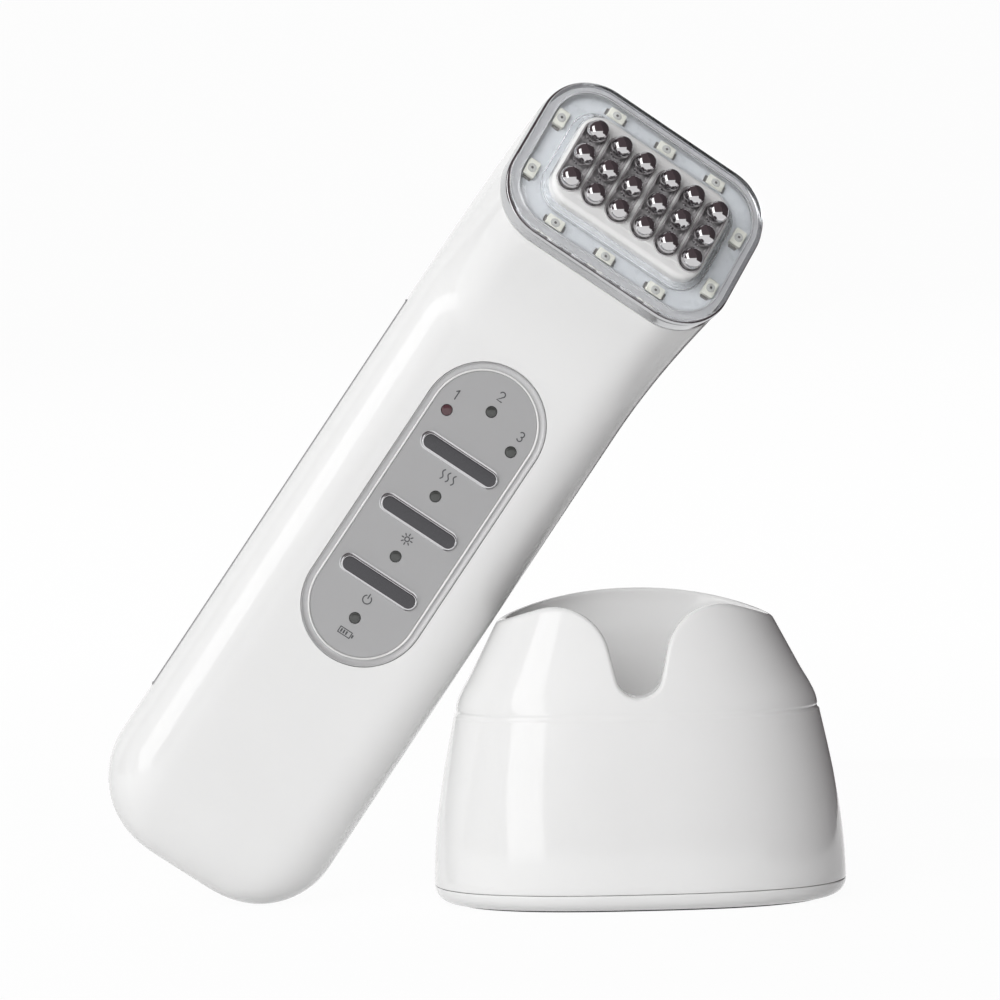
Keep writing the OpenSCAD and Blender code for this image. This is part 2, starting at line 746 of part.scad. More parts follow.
// Half width and half depth of the cradle's skin at height z
ledge_h = 2;                                // height of the small step that makes the ledge
shoulder_z = ledge_z + ledge_h;
kink_z = ledge_z + shoulder_h;
rim_top_z = rim_z + rim_rise;
notch_z = rim_top_z - notch_depth;
notch_lip_z = rim_top_z - notch_lip_depth;
hollow_z = notch_z - notch_floor;
ledge_step_a = 0.7;
ledge_step_b = 0.5;
cone_slope = (kink_a - rim_a) / (rim_z - kink_z);
function skin_a(z) =
    z <= ledge_z ? ledge_a + (foot_a - ledge_a) * cos(90 * (z - seam_z) / (ledge_z - seam_z))
    : z <= kink_z ? let (s = max(0, (z - shoulder_z) / (kink_z - shoulder_z)))
        ledge_a - ledge_step_a - (ledge_a - ledge_step_a - kink_a) * pow(s, 1.5)
    : kink_a - cone_slope * (z - kink_z);
function skin_b(z) =
    z <= ledge_z ? ledge_b + (foot_b - ledge_b) * cos(90 * (z - seam_z) / (ledge_z - seam_z))
    : let (s = max(0, (z - shoulder_z) / (rim_top_z - shoulder_z)))
        ledge_b - ledge_step_b - (ledge_b - ledge_step_b - rim_b) * pow(s, 1.25);

function oval(a, b, z) = [
    for (i = [0:cradle_steps - 1])
        let (u = 360 * i / cradle_steps)
            [a * soft(cos(u), foot_soft), b * soft(sin(u), foot_soft), z]];
function skin(z, inset) = oval(skin_a(z) - inset, skin_b(z) - inset, z);

// The rim is an arch seen from the front; its edge is a half round as thick as the wall
arch_r = (pow(rim_a, 2) + pow(rim_top_z - rim_z, 2)) / (2 * (rim_top_z - rim_z));
function arch(x) = rim_top_z - arch_r + sqrt(pow(arch_r, 2) - pow(x, 2));
function cone(s, inset, rise) = [
    for (i = [0:cradle_steps - 1])
        let (u = 360 * i / cradle_steps, cx = soft(cos(u), foot_soft), cy = soft(sin(u), foot_soft),
             z = mix(kink_z, arch(rim_a * cx) - cradle_wall / 2, s))
            [(skin_a(z) - inset) * cx, (skin_b(z) - inset) * cy, z + rise]];

// The pocket narrows towards its floor as the handset's lower end does
pocket_in = 9;                              // how far the pocket draws in at each side
pocket_low_b = 17;                          // its half depth low down
pocket_in_b = 4;                            // how far it draws in at the front and the back
pocket_z = rim_z - 6;                       // height above which its walls stand straight
pocket_a = rim_a - cradle_wall;
pocket_b = rim_b - cradle_wall;
function low(z) = 1 - min(1, (z - floor_z) / (pocket_z - floor_z));
function pocket(z, grow) = oval(pocket_a - pocket_in * pow(low(z), 6) + grow,
    mix(pocket_b, pocket_low_b, low(z)) - pocket_in_b * pow(low(z), 6) + grow, z);

shell_z = seam_z + 0.1;                     // the shell's lower edge, a hair above the base
boss_x = 34;
boss_y = 12;
base_boss_d = 6.4;
base_screw_d = 2.6;
base_screw_l = 9;

// Outline of the front notch: a round end, two leaning sides, and two lips that run into the arch
notch_c = notch_z + notch_r;
notch_x1 = notch_r / cos(notch_slope) + (notch_lip_z - notch_c) * tan(notch_slope);
arch_c = rim_top_z - arch_r;
lip_r = (pow(arch_r, 2) - pow(notch_x1, 2) - pow(notch_lip_z - arch_c, 2))
    / (2 * (arch_r + notch_x1 * cos(notch_slope) - (notch_lip_z - arch_c) * sin(notch_slope)));
lip_x = notch_x1 + lip_r * cos(notch_slope);
lip_z = notch_lip_z - lip_r * sin(notch_slope);
lip_end = lip_x * arch_r / (arch_r - lip_r);        // where a lip meets the arch
module notch_outline() {
    translate([0, notch_c]) circle(r = notch_r);
    foot = [notch_r * cos(notch_slope), notch_c - notch_r * sin(notch_slope)];
    polygon([[-foot[0], foot[1]], foot, [notch_x1, notch_lip_z], [-notch_x1, notch_lip_z]]);
    difference() {
        translate([-lip_end, notch_lip_z - 0.01])
            square([2 * lip_end, rim_top_z - notch_lip_z + 1]);
        for (s = [-1, 1]) translate([s * lip_x, lip_z]) circle(r = lip_r, $fn = 96);
    }
}

module cradle_shell() {
    lip = cradle_wall / 2;
    color("white") difference() {
        union() {
            loft(concat(
                [oval(pocket_a - pocket_in + cradle_wall, pocket_low_b - pocket_in_b
                    + cradle_wall, floor_z - cradle_wall)],
                [for (k = [0:4])
                    pocket(mix(floor_z + cradle_wall, hollow_z, pow(k / 4, 1.5)), cradle_wall)],
                [for (k = [0:5]) skin(mix(hollow_z, shell_z, k / 5), cradle_wall)],
                [for (k = [0:7]) skin(mix(shell_z, ledge_z, k / 7), 0)],
                [for (k = [0:4]) skin(mix(shoulder_z, kink_z, k / 4), 0)],
                [for (k = [1:3]) cone(k / 3, 0, 0)],
                [for (k = [1:6]) cone(1, lip * (1 - cos(30 * k)), lip * sin(30 * k))],
                [for (k = [0:7])
                    pocket(mix(floor_z, pocket_z, pow(1 - k / 7, 1.7)), 0)]));
            for (x = [-boss_x, boss_x], y = [-boss_y, boss_y])
                translate([x, y, shell_z]) cylinder(d = base_boss_d, h = hollow_z - shell_z + 1);
        }
        // the notch in front
        rotate([90, 0, 0]) linear_extrude(foot_b) notch_outline();
        // holes for the two contact pins and for the power inlet
        for (s = [-1, 1]) translate([s * contact_x, 0, floor_z - cradle_wall - eps])
            cylinder(d = pin_d + 1, h = cradle_wall + 2 * eps);
        translate([0, foot_b / 2, inlet_z]) rotate([-90, 0, 0])
            cylinder(d = inlet_nose_d + 2 * fit, h = foot_b);
        for (x = [-boss_x, boss_x], y = [-boss_y, boss_y])
            translate([x, y, shell_z - eps]) cylinder(d = base_screw_d, h = base_screw_l + 3);
    }
}

base_floor = pad_t + 1.2;                   // upper face of the base's floor
base_lift = 0.5;                            // the base's edge stays clear of the surface
pad_in = 5;                                 // from the foot's edge to the pad's edge

module cradle_base() {
    edge = seam_z - base_lift;
    color("whitesmoke") difference() {
        union() {
            loft(concat(
                [for (k = [0:4])
                    let (u = 90 * k / 4)
                        oval(foot_a - edge * (1 - sin(u)), foot_b - edge * (1 - sin(u)),
                            base_lift + edge * (1 - cos(u)))],
                [for (z = [seam_z, base_floor])
                    oval(foot_a - cradle_wall, foot_b - cradle_wall, z)]));
            for (x = [-post_x, post_x], y = [-post_y, post_y])
                translate([x, y, base_floor - eps])
                    cylinder(d = 6, h = post_top - base_floor + eps);
            for (x = [-boss_x, boss_x], y = [-boss_y, boss_y])
                translate([x, y, base_floor - eps])
                    cylinder(d = base_boss_d, h = seam_z - base_floor + eps);
        }
        translate([0, 0, base_lift - eps])
            linear_extrude(pad_t - base_lift + eps) pad_outline(fit);
        for (x = [-boss_x, boss_x], y = [-boss_y, boss_y]) translate([x, y, 0]) {
            cylinder(d = base_screw_d + 0.4, h = seam_z + eps);
            cylinder(d = 2 * base_screw_d + 0.4, h = screw_seat);
        }
    }
}

screw_seat = base_floor + 0.5;              // where the heads of the base screws bear
post_x = 24;
post_y = 12;
post_top = 5.4;

module pad_outline(grow) {
    polygon([for (p = oval(foot_a - pad_in + grow, foot_b - pad_in + grow, 0)) [p[0], p[1]]]);
}

module base_pad() {
    color("dimgray") linear_extrude(pad_t) pad_outline(0);
}

board2_w = 58;
board2_l = 46;
board2_y = 4.5;                             // the board lies nearer the inlet
module charge_board() {
    color("green") translate([-board2_w / 2, board2_y - board2_l / 2, post_top])
        cube([board2_w, board2_l, board_t]);
}

inlet_nose_d = 8;
inlet_body = [9, 10.6, 11.2];
inlet_front = skin_b(inlet_z) - 0.3;        // the nose ends just inside the shell's skin
module dc_inlet() {
    nose = cradle_wall + 0.6;
    color("black") difference() {
        union() {
            translate([-inlet_body[0] / 2, inlet_front - nose - inlet_body[1], post_top + board_t])
                cube(inlet_body);
            translate([0, inlet_front, inlet_z]) rotate([90, 0, 0])
                cylinder(d = inlet_nose_d, h = nose + 1);
        }
        translate([0, inlet_front + eps, inlet_z]) rotate([90, 0, 0])
            cylinder(d = inlet_d, h = inlet_depth + eps);
    }
}

pin_top = floor_z + 1.6;                    // a contact pin's tip at rest
block_h = floor_z - cradle_wall - post_top - board_t;
pin_l = 6.9;
pin_base = pin_top - pin_l;
block_side = 4;                             // from a pin's axis to the block's faces

module pin_block() {
    color("black") translate([0, 0, post_top + board_t]) difference() {
        translate([-contact_x - block_side, -block_side, 0])
            cube([2 * (contact_x + block_side), 2 * block_side, block_h]);
        for (s = [-1, 1]) translate([s * contact_x, 0, 0.4])
            cylinder(d = pin_d + 2 * pin_gap, h = block_h);
    }
}

module contact_pin(side) {
    color("gold") translate([side * contact_x, 0, 0]) {
        translate([0, 0, pin_base]) cylinder(d = pin_d, h = pin_top - pin_base - pin_d / 2);
        translate([0, 0, pin_top - pin_d / 2]) sphere(d = pin_d);
    }
}

module base_screws() {
    head_h = 1.6;
    color("silver") for (x = [-boss_x, boss_x], y = [-boss_y, boss_y])
        translate([x, y, screw_seat]) rotate([180, 0, 0])
            screw(2 * base_screw_d, head_h, base_screw_d - 0.1, base_screw_l);
}

housing();
rear_cover();
panel_bezel();
panel_plate();
button(level_z);  // button_level
button(light_z);  // button_light
button(power_z);  // button_power
plunger(level_z);  // plunger_level
plunger(light_z);  // plunger_light
plunger(power_z);  // plunger_power
lens(lens_spots[0]);  // lens_level_1
lens(lens_spots[1]);  // lens_level_2
lens(lens_spots[2]);  // lens_level_3
lens(lens_spots[3]);  // lens_heat
lens(lens_spots[4]);  // lens_light
lens(lens_spots[5]);  // lens_charge
main_board();
switch_bases();
indicator_leds();
board_screws();
battery_cell();
battery_holder();
rf_transformer();
power_choke();
head_flex();
charge_contacts();
head_carrier();
head_screws();
chrome_ring();
head_gasket();
led_board();
infrared_leds();
clear_cover();
electrode_plate();
electrode_bar(1);  // electrode_bar_1
electrode_bar(2);  // electrode_bar_2
electrode_bar(3);  // electrode_bar_3
electrode_bar(4);  // electrode_bar_4
electrode_bar(5);  // electrode_bar_5
electrode_bar(6);  // electrode_bar_6
electrode_pins();
cradle_shell();
cradle_base();
base_pad();
charge_board();
pin_block();
contact_pin(-1);  // contact_pin_left
contact_pin(1);  // contact_pin_right
dc_inlet();
base_screws();
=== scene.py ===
import math

import bmesh
import bpy
from mathutils import Matrix, Vector


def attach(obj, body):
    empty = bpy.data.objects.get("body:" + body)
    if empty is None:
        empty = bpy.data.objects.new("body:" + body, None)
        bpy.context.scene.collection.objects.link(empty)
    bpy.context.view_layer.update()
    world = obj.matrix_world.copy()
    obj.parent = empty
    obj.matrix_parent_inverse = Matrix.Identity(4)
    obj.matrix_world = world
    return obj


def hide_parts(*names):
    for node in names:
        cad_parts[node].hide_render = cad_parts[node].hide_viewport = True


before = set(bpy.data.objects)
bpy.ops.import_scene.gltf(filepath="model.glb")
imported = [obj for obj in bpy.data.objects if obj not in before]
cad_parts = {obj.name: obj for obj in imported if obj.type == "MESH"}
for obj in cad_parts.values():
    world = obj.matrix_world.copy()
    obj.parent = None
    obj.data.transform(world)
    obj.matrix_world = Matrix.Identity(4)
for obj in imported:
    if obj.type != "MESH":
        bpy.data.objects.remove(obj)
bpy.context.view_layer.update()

# Sizes here are real millimetres. The cradle stands at the origin; the handset has a frame of
# its own, with its lower end at the origin, its panel towards -Y and its length along +Z.
MM = 0.001
QUARTER = math.pi / 2

# ---- the housing ----
# The handset's front shell: one injection moulding in polished white plastic. Its lower end is
# rounded, its corners are soft, and its neck leans forward to the tilted mouth for the head.

# the handle, its lower end, its neck and the mouth
handle_w = 59.5
handle_t = 30.5
front_y = 12.5
mid_y = handle_t / 2 - front_y
corner_soft = 2.4
wall = 2
end_h = 20
end_in_w = 20
end_in_t = 11
neck_z = 144
head_tilt = 64
head_l = 43.8
head_w = 60.5
head_r = 13.5
mouth_front = Vector((-26.5, 170))
head_dir = Vector((math.cos(math.radians(head_tilt)), math.sin(math.radians(head_tilt))))
mouth_back = mouth_front + head_l * head_dir
mouth_mid = (mouth_front + mouth_back) / 2
front_flare = math.radians(40)
back_flare = math.radians(52)
back_ease = 0.8

# the openings for the rear cover, the panel, its buttons and its lights
window_z = (33.3, 143.3)
recess_d = 1.2
panel_w = 30.5
panel_straight = 50.2
panel_z = 103.2
button_l = 20.8
button_h = 4.2
button_gap = 0.3
button_zs = {"level": 118.6, "light": 101.1, "power": 84.1}
lens_d = 2.55
lens_spots = {
    "level_1": (-9.1, 126.8), "level_2": (0, 132.2), "level_3": (9.1, 126.8),
    "heat": (0, 108.3), "light": (0, 91.3), "charge": (0, 73.9)}
fit = 0.15

# the holes for the charge contacts, and the bosses that carry the main board
contact_x = 5.5
contact_d = 3
board_d = 6.5
boss_spots = [(x, z) for x in (-17.5, 17.5) for z in (54, 138)]
boss_d = 5
boss_bore_d = 2
past = 0.1

# how the handset stands beside the cradle
handset_at = (-109.738, 0, 8.947)
lean = math.radians(34.9)
turn = math.radians(7.5)

ON_REST = (Matrix.Translation(handset_at) @ Matrix.Rotation(lean, 4, "Y")
           @ Matrix.Rotation(turn, 4, "Z"))


def on_front(depth):
    """Drawn as the panel is looked at, at a depth below the front face, rising to the eye."""
    return (ON_REST @ Matrix.Translation((0, depth - front_y, 0))
            @ Matrix.Rotation(QUARTER, 4, "X"))


def mix(p, q, s):
    """The value at the share s of the way from p to q."""
    return p + (q - p) * s


def turns(full, steps):
    """Angles from 0 up to full in equal steps, both ends kept."""
    return [full * k / steps for k in range(steps + 1)]


def evenly(p, q, steps):
    """Values from p to q in equal steps, both ends kept."""
    return [mix(p, q, k / steps) for k in range(steps + 1)]


def soft(c, m):
    """A sine or cosine c, squared off by the softness m; 2 leaves a plain ellipse."""
    return math.copysign(abs(c) ** (2 / m), c)


def bend(p, p_pull, q, q_pull, s):
    """Point on the smooth curve from p to q that leaves along p_pull and arrives along q_pull."""
    return (p * (2 * s**3 - 3 * s**2 + 1) + p_pull * (s**3 - 2 * s**2 + s)
            + q * (3 * s**2 - 2 * s**3) + q_pull * (s**3 - s**2))


def soft_box(a, b, r, m, steps=26, along=6):
    """Outline of half sizes a and b whose corners of radius r have the softness m."""
    c = min(r, 0.97 * b)
    corners = []
    for quarter in range(4):
        sx = 1 if quarter in (0, 3) else -1
        sy = 1 if quarter < 2 else -1
        angles = [math.radians(90 * (quarter + k / steps)) for k in range(steps + 1)]
        corners.append([Vector((sx * (a - c) + c * soft(math.cos(u), m),
                                sy * (b - c) + c * soft(math.sin(u), m))) for u in angles])
    outline = []
    for corner, following in zip(corners, corners[1:] + corners[:1]):
        outline += corner
        outline += [corner[-1].lerp(following[0], k / along) for k in range(1, along)]
    return outline


def section(front, back, a, r, m, inset):
    """Ring of the handset between its front point and its back point, both as (y, z)."""
    span = (back - front).length
    way = (back - front) / span
    middle = (front + back) / 2
    return [(p.x, middle.x + way.x * p.y, middle.y + way.y * p.y)
            for p in soft_box(a - inset, span / 2 - inset, r - inset, m)]


def handset_rings(inset, end_steps=26, straight_steps=8, neck_steps=40):
    """Rings of the handset's skin, or of a surface lying inset below it."""
    rings = []
    for u in turns(QUARTER, end_steps):
        b = handle_t / 2 - inset - (end_in_t - inset) * (1 - math.sin(u))
        a = handle_w / 2 - inset - (end_in_w - inset) * (1 - math.sin(u))
        z = inset + (end_h - inset) * (1 - math.cos(u))
        rings.append(section(Vector((mid_y - b, z)), Vector((mid_y + b, z)), a,
                             handle_t / 2 - inset, corner_soft, 0))
    for k in range(1, straight_steps):
        z = mix(end_h, neck_z, k / straight_steps)
        rings.append(section(Vector((-front_y, z)), Vector((handle_t - front_y, z)), handle_w / 2,
                             handle_t / 2, corner_soft, inset))
    neck_front = Vector((-front_y, neck_z))
    neck_back = Vector((handle_t - front_y, neck_z))
    front_pull = (mouth_front - neck_front).length
    back_pull = back_ease * (mouth_back - neck_back).length
    for k in range(neck_steps + 1):
        s = k / neck_steps
        front = bend(neck_front, Vector((0, front_pull)), mouth_front,
                     front_pull * Vector((-math.sin(front_flare), math.cos(front_flare))), s)
        back = bend(neck_back, Vector((0, back_pull)), mouth_back,
                    back_pull * Vector((-math.sin(back_flare), math.cos(back_flare))), s)
        rings.append(section(front, back, mix(handle_w, head_w, s) / 2,
                             mix(handle_t / 2, head_r, s), mix(corner_soft, 2, s), inset))
    return rings


def solid(name, points, faces, place, crease=32, weld=0.002):
    """Object with this mesh, its points in millimetres in the frame of place."""
    mesh = bpy.data.meshes.new(name)
    mesh.from_pydata([tuple(p) for p in points], [], faces)
    mesh.transform(place)
    mesh.transform(Matrix.Scale(MM, 4))
    work = bmesh.new()
    work.from_mesh(mesh)
    bmesh.ops.remove_doubles(work, verts=work.verts, dist=weld * MM)
    bmesh.ops.recalc_face_normals(work, faces=work.faces)
    work.to_mesh(mesh)
    work.free()
    made = bpy.data.objects.new(name, mesh)
    bpy.context.scene.collection.objects.link(made)
    smooth(made, crease)
    return made


def smooth(made, crease=32):
    """Shades an object smooth, apart from edges that turn by more than the crease."""
    made.data.polygons.foreach_set("use_smooth", [True] * len(made.data.polygons))
    made.data.set_sharp_from_angle(angle=math.radians(crease))


def loft(name, rings, place, ring_shut=False, crease=32):
    """Solid through equal rings: shut on itself, or with its first and last ring filled."""
    n = len(rings[0])
    points = [Vector((*p, 0)[:3]) for ring in rings for p in ring]
    pairs = list(zip(range(len(rings)), range(1, len(rings))))
    if ring_shut:
        pairs.append((len(rings) - 1, 0))
    faces = [(a * n + i, a * n + (i + 1) % n, b * n + (i + 1) % n, b * n + i)
             for a, b in pairs for i in range(n)]
    if not ring_shut:
        faces += [tuple(range(n)), tuple((len(rings) - 1) * n + i for i in range(n))]
    return solid(name, points, faces, place, crease)


def raised(outline, height):
    """A flat outline as a ring at this height."""
    return [(p[0], p[1], height) for p in outline]


def rounded(w, l, r, steps=10, at=(0, 0)):
    """Outline of a rectangle with round corners; with r of half a side it is a stadium."""
    same = 1e-6
    points = []
    for quarter in range(4):
        sx = 1 if quarter in (0, 3) else -1
        sy = 1 if quarter < 2 else -1
        for k in range(steps + 1):
            u = math.radians(90 * (quarter + k / steps))
            p = Vector((at[0] + sx * (w / 2 - r) + r * math.cos(u),
                        at[1] + sy * (l / 2 - r) + r * math.sin(u)))
            if not points or (p - points[-1]).length > same:
                points.append(p)
    if (points[0] - points[-1]).length < same:
        points.pop()
    return points


def disc(d, at=(0, 0), steps=48):
    """Outline of a circle of diameter d."""
    return [Vector((at[0] + d / 2 * math.cos(2 * math.pi * k / steps),
                    at[1] + d / 2 * math.sin(2 * math.pi * k / steps))) for k in range(steps)]


def prism(outline, low, high, place):
    """Straight solid over an outline, between two heights."""
    return loft("prism", [raised(outline, low), raised(outline, high)], place)


def carve(body, tools, operation="DIFFERENCE", crease=32):
    """Cuts each tool out of the body, or joins it on, and removes the tool."""
    for tool in tools:
        step = body.modifiers.new("carve", "BOOLEAN")
        step.object = tool
        step.operation = operation
        step.solver = "MANIFOLD"
        bake(body)
        bpy.data.objects.remove(tool)
    smooth(body, crease)
    return body


def bake(body):
    """Turns an object's modifiers into its mesh."""
    graph = bpy.context.evaluated_depsgraph_get()
    body.data = bpy.data.meshes.new_from_object(body.evaluated_get(graph))
    body.modifiers.clear()


def together(pieces):
    """Joins objects into the first of them, for tools that cut in one pass."""
    first = pieces[0]
    work = bmesh.new()
    for each in pieces:
        work.from_mesh(each.data)
    work.to_mesh(first.data)
    work.free()
    for each in pieces[1:]:
        bpy.data.objects.remove(each)
    return first


def pegs(d, spots, low, high, place, steps=48):
    """Equal round pegs on these spots, joined as one tool."""
    return together([prism(disc(d, p, steps), low, high, place) for p in spots])


def panel_openings(steps, low, high, place):
    """The slots for the buttons and the round holes for the lenses, as tools."""
    outlines = [rounded(button_l + 2 * button_gap, button_h + 2 * button_gap,
                        button_h / 2 + button_gap, steps, (0, z)) for z in button_zs.values()]
    return ([prism(outline, low, high, place) for outline in outlines]
            + [pegs(lens_d + 2 * fit, lens_spots.values(), low, high, place)])


def soften(body, width, steps=3, angle=38):
    """Rounds the edges that turn by more than the angle, and keeps the flat faces flat."""
    step = body.modifiers.new("soften", "BEVEL")
    step.width = width * MM
    step.segments = steps
    step.limit_method = "ANGLE"
    step.angle_limit = math.radians(angle)
    bake(body)
    smooth(body, 60)
    body.modifiers.new("keep_flat", "WEIGHTED_NORMAL").keep_sharp = True
    bake(body)
    return body


def finish(name, colour, drift=0.02, rough=(0.2, 0.25), grain=3.0, bump=0.0, bump_grain=0.4,
           stretch=(1, 1, 1), **constants):
    """A finish whose colour and gloss drift a little over its grain, and whose skin has a bump.
    Grain and bump are in millimetres; the constants go straight on the shader's sockets."""
    look = bpy.data.materials.new(name)
    look.use_nodes = True
    nodes, links = look.node_tree.nodes, look.node_tree.links
    shader = nodes["Principled BSDF"]
    coords = nodes.new("ShaderNodeTexCoord")
    scaled = nodes.new("ShaderNodeMapping")
    scaled.inputs["Scale"].default_value = stretch
    links.new(coords.outputs["Object"], scaled.inputs["Vector"])
    cloud = nodes.new("ShaderNodeTexNoise")
    cloud.inputs["Scale"].default_value = 1 / (grain * MM)
    cloud.inputs["Detail"].default_value = 4
    links.new(scaled.outputs["Vector"], cloud.inputs["Vector"])
    tint = nodes.new("ShaderNodeMix")
    tint.data_type = "RGBA"
    tint.inputs["A"].default_value = (*[c * (1 - drift) for c in colour], 1)
    tint.inputs["B"].default_value = (*[min(1, c * (1 + drift)) for c in colour], 1)
    links.new(cloud.outputs["Fac"], tint.inputs["Factor"])
    links.new(tint.outputs["Result"], shader.inputs["Base Color"])
    gloss = nodes.new("ShaderNodeMapRange")
    gloss.inputs["From Min"].default_value = 0.3
    gloss.inputs["From Max"].default_value = 0.7
    gloss.inputs["To Min"].default_value = rough[0]
    gloss.inputs["To Max"].default_value = rough[1]
    links.new(cloud.outputs["Fac"], gloss.inputs["Value"])
    links.new(gloss.outputs["Result"], shader.inputs["Roughness"])
    if bump:
        skin = nodes.new("ShaderNodeTexNoise")
        skin.inputs["Scale"].default_value = 1 / (bump_grain * MM)
        skin.inputs["Detail"].default_value = 2
        links.new(scaled.outputs["Vector"], skin.inputs["Vector"])
        relief = nodes.new("ShaderNodeBump")
        relief.inputs["Distance"].default_value = bump * MM
        links.new(skin.outputs["Fac"], relief.inputs["Height"])
        links.new(relief.outputs["Normal"], shader.inputs["Normal"])
    for socket, value in constants.items():
        shader.inputs[socket.replace("_", " ")].default_value = value
    return look


def fit_out(made, body, slot, look, *nodes):
    """Gives a piece its finish and its body, and lets it stand for the CAD nodes it shows."""
    made.data.materials.clear()
    for each in look if isinstance(look, list) else [look]:
        made.data.materials.append(each)
    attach(made, body)
    if nodes:
        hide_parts(*nodes)
    return made


white_plastic = finish("polished_white_plastic", (0.80, 0.80, 0.797), drift=0.012,
                       rough=(0.07, 0.10), grain=14, bump=0.002, bump_grain=2.5)

housing = loft("housing_shell", handset_rings(0) + handset_rings(wall)[::-1], ON_REST)
panel_outline = rounded(panel_w, panel_straight + panel_w, panel_w / 2, 32, (0, panel_z))
carve(housing, [together([
    prism(panel_outline, 0, recess_d + 1, on_front(recess_d)),
    prism(rounded(2 * handle_w, 2 * handle_w, 1, 4, (0, mid_y + handle_w)), *window_z, ON_REST),
])])
contact_holes = pegs(contact_d + 2 * fit, [(-contact_x, mid_y), (contact_x, mid_y)],
                     -0.5, wall + 0.5, ON_REST)
carve(housing, [together(panel_openings(12, 0, wall, on_front(wall + past)) + [contact_holes])])
carve(housing, [pegs(boss_d, boss_spots, 0, board_d - wall + 0.5, on_front(board_d))], "UNION")
carve(housing, [pegs(boss_bore_d, boss_spots, -past, board_d - wall, on_front(board_d))])
fit_out(housing, "handset", "white_gloss", white_plastic, "housing")

# ---- the rear cover ----
# A separate back shell in the same white plastic. It snaps into the housing's rear opening on a
# lip along each flank and a tab at each end, and lies a hair below the housing's skin.
seam_gap = 0.3
cover_sink = 0.35
lip_t = 1.2
lip_h = 2.5
lip_top = 4
cover_edge_r = 0.16
tab_w = 16
tab_l = 4


def flank(inset, low, high=handle_t):
    """The section's line, inset below its skin, on the right side from y low up to y high."""
    line = soft_box(handle_w / 2 - inset, handle_t / 2 - inset, handle_t / 2 - inset, corner_soft)
    line = [Vector((p.x, p.y + mid_y)) for p in line if p.x >= 0]
    line.sort(key=lambda p: (p.y, -p.x))
    kept = [p for p in line if low < p.y < high]
    below = max((p for p in line if p.y <= low), key=lambda p: p.y)
    above = kept[0]
    start = below.lerp(above, (low - below.y) / (above.y - below.y))
    if high >= line[-1].y:
        return [start] + kept
    after = min((p for p in line if p.y >= high), key=lambda p: p.y)
    return [start] + kept + [kept[-1].lerp(after, (high - kept[-1].y) / (after.y - kept[-1].y))]


half = (flank(cover_sink, mid_y + seam_gap)
        + flank(wall, mid_y + lip_top)[::-1]
        + flank(wall + lip_t, mid_y - lip_h, mid_y + lip_top)[::-1]
        + flank(wall + fit, mid_y - lip_h, mid_y + seam_gap))
outer = len(flank(cover_sink, mid_y + seam_gap))
inner = len(flank(wall, mid_y + lip_top))
left = [Vector((-p.x, p.y)) for p in half]
cover_ring = (half[outer:outer + inner] + half[outer + inner:] + half[:outer]
              + left[:outer][::-1] + left[outer + inner:][::-1] + left[outer:outer + inner][::-1])
cover_z = (window_z[0] + seam_gap, window_z[1] - seam_gap)
cover = loft("rear_cover_shell", [raised(cover_ring, z) for z in evenly(*cover_z, 10)], ON_REST)
soften(cover, cover_edge_r, 2, 50)
tab_y = handle_t - front_y - wall - fit - lip_t
tabs = [prism(rounded(tab_w, lip_t, 0.3, 3, (0, tab_y + lip_t / 2)), z, z + 2 * tab_l, ON_REST)
        for z in (cover_z[0] - tab_l, cover_z[1] - tab_l)]
webs = [prism(rounded(tab_w, 1, 0.1, 2, (0, tab_y + lip_t + 0.1)), z, z + tab_l, ON_REST)
        for z in (cover_z[0], cover_z[1] - tab_l)]
carve(cover, tabs + webs, "UNION")
fit_out(cover, "handset", "white_gloss", white_plastic, "rear_cover")

# ---- the painted shadow line in the rear cover's seam ----
# A thin grey cord lies in the seam all round the rear cover and stands a hair proud. Its grey is
# painted shade: from the front it stands in for the fine dark shadow line along the handset's left
# edge.
cord_r = 0.27
cord_out = 0.02
turn_r = 0.5

back_line = [Vector((p.x, p.y)) for p in flank(cord_out, mid_y + seam_gap / 2)]
back_line = [p for p in back_line if p.x > 0.5]
back_line += [Vector((-p.x, p.y)) for p in back_line[::-1]]
low_z = window_z[0] + seam_gap / 2
high_z = window_z[1] - seam_gap / 2
path = [Vector((*back_line[0], z)) for z in evenly(low_z + turn_r, high_z - turn_r, 40)]
path += [Vector((*p, high_z)) for p in back_line[3:-3]]
path += [Vector((*back_line[-1], z)) for z in evenly(high_z - turn_r, low_z + turn_r, 40)]
path += [Vector((*p, low_z)) for p in back_line[3:-3][::-1]]
rings = []
for k, spot in enumerate(path):
    way = (path[(k + 1) % len(path)] - path[k - 1]).normalized()
    out = Vector((spot.x, spot.y - mid_y, 0)).normalized()
    side = way.cross(out).normalized()
    out = side.cross(way)
    rings.append([spot + cord_r * (math.cos(u) * out + math.sin(u) * side)
                  for u in turns(4 * QUARTER, 12)[:-1]])
seam_shadow_line = loft("seam_shadow_cord", rings, ON_REST, ring_shut=True, crease=60)
# painted shade: the cord's grey stands in for the dark shadow line of the seam
painted_seam_shade = finish("painted_seam_shadow_grey", (0.27, 0.27, 0.275), drift=0.15, rough=(0.45, 0.6),
                   grain=1.0, bump=0.005)
fit_out(seam_shadow_line, "handset", "seal_black", painted_seam_shade)

# ---- the panel's bezel and plate ----
# The bezel is a silver-painted plastic ring pressed into the housing's recess: its face falls
# away in a cove and ends in a thin bright bead. The plate is printed satin film on plastic.
bezel_w = 2.3
bezel_face_z = 1.1
cove_w = 1.36
cove_d = 0.85
bead_r = 0.24
plate_sink = 0.6
plate_edge_r = 0.1


def ring_of(w, l, r, profile, steps, at=(0, 0)):
    """Rings of a rounded outline, one for each (inset, height) of the profile."""
    return [raised(rounded(w - 2 * i, l - 2 * i, r - i, steps, at), h) for i, h in profile]


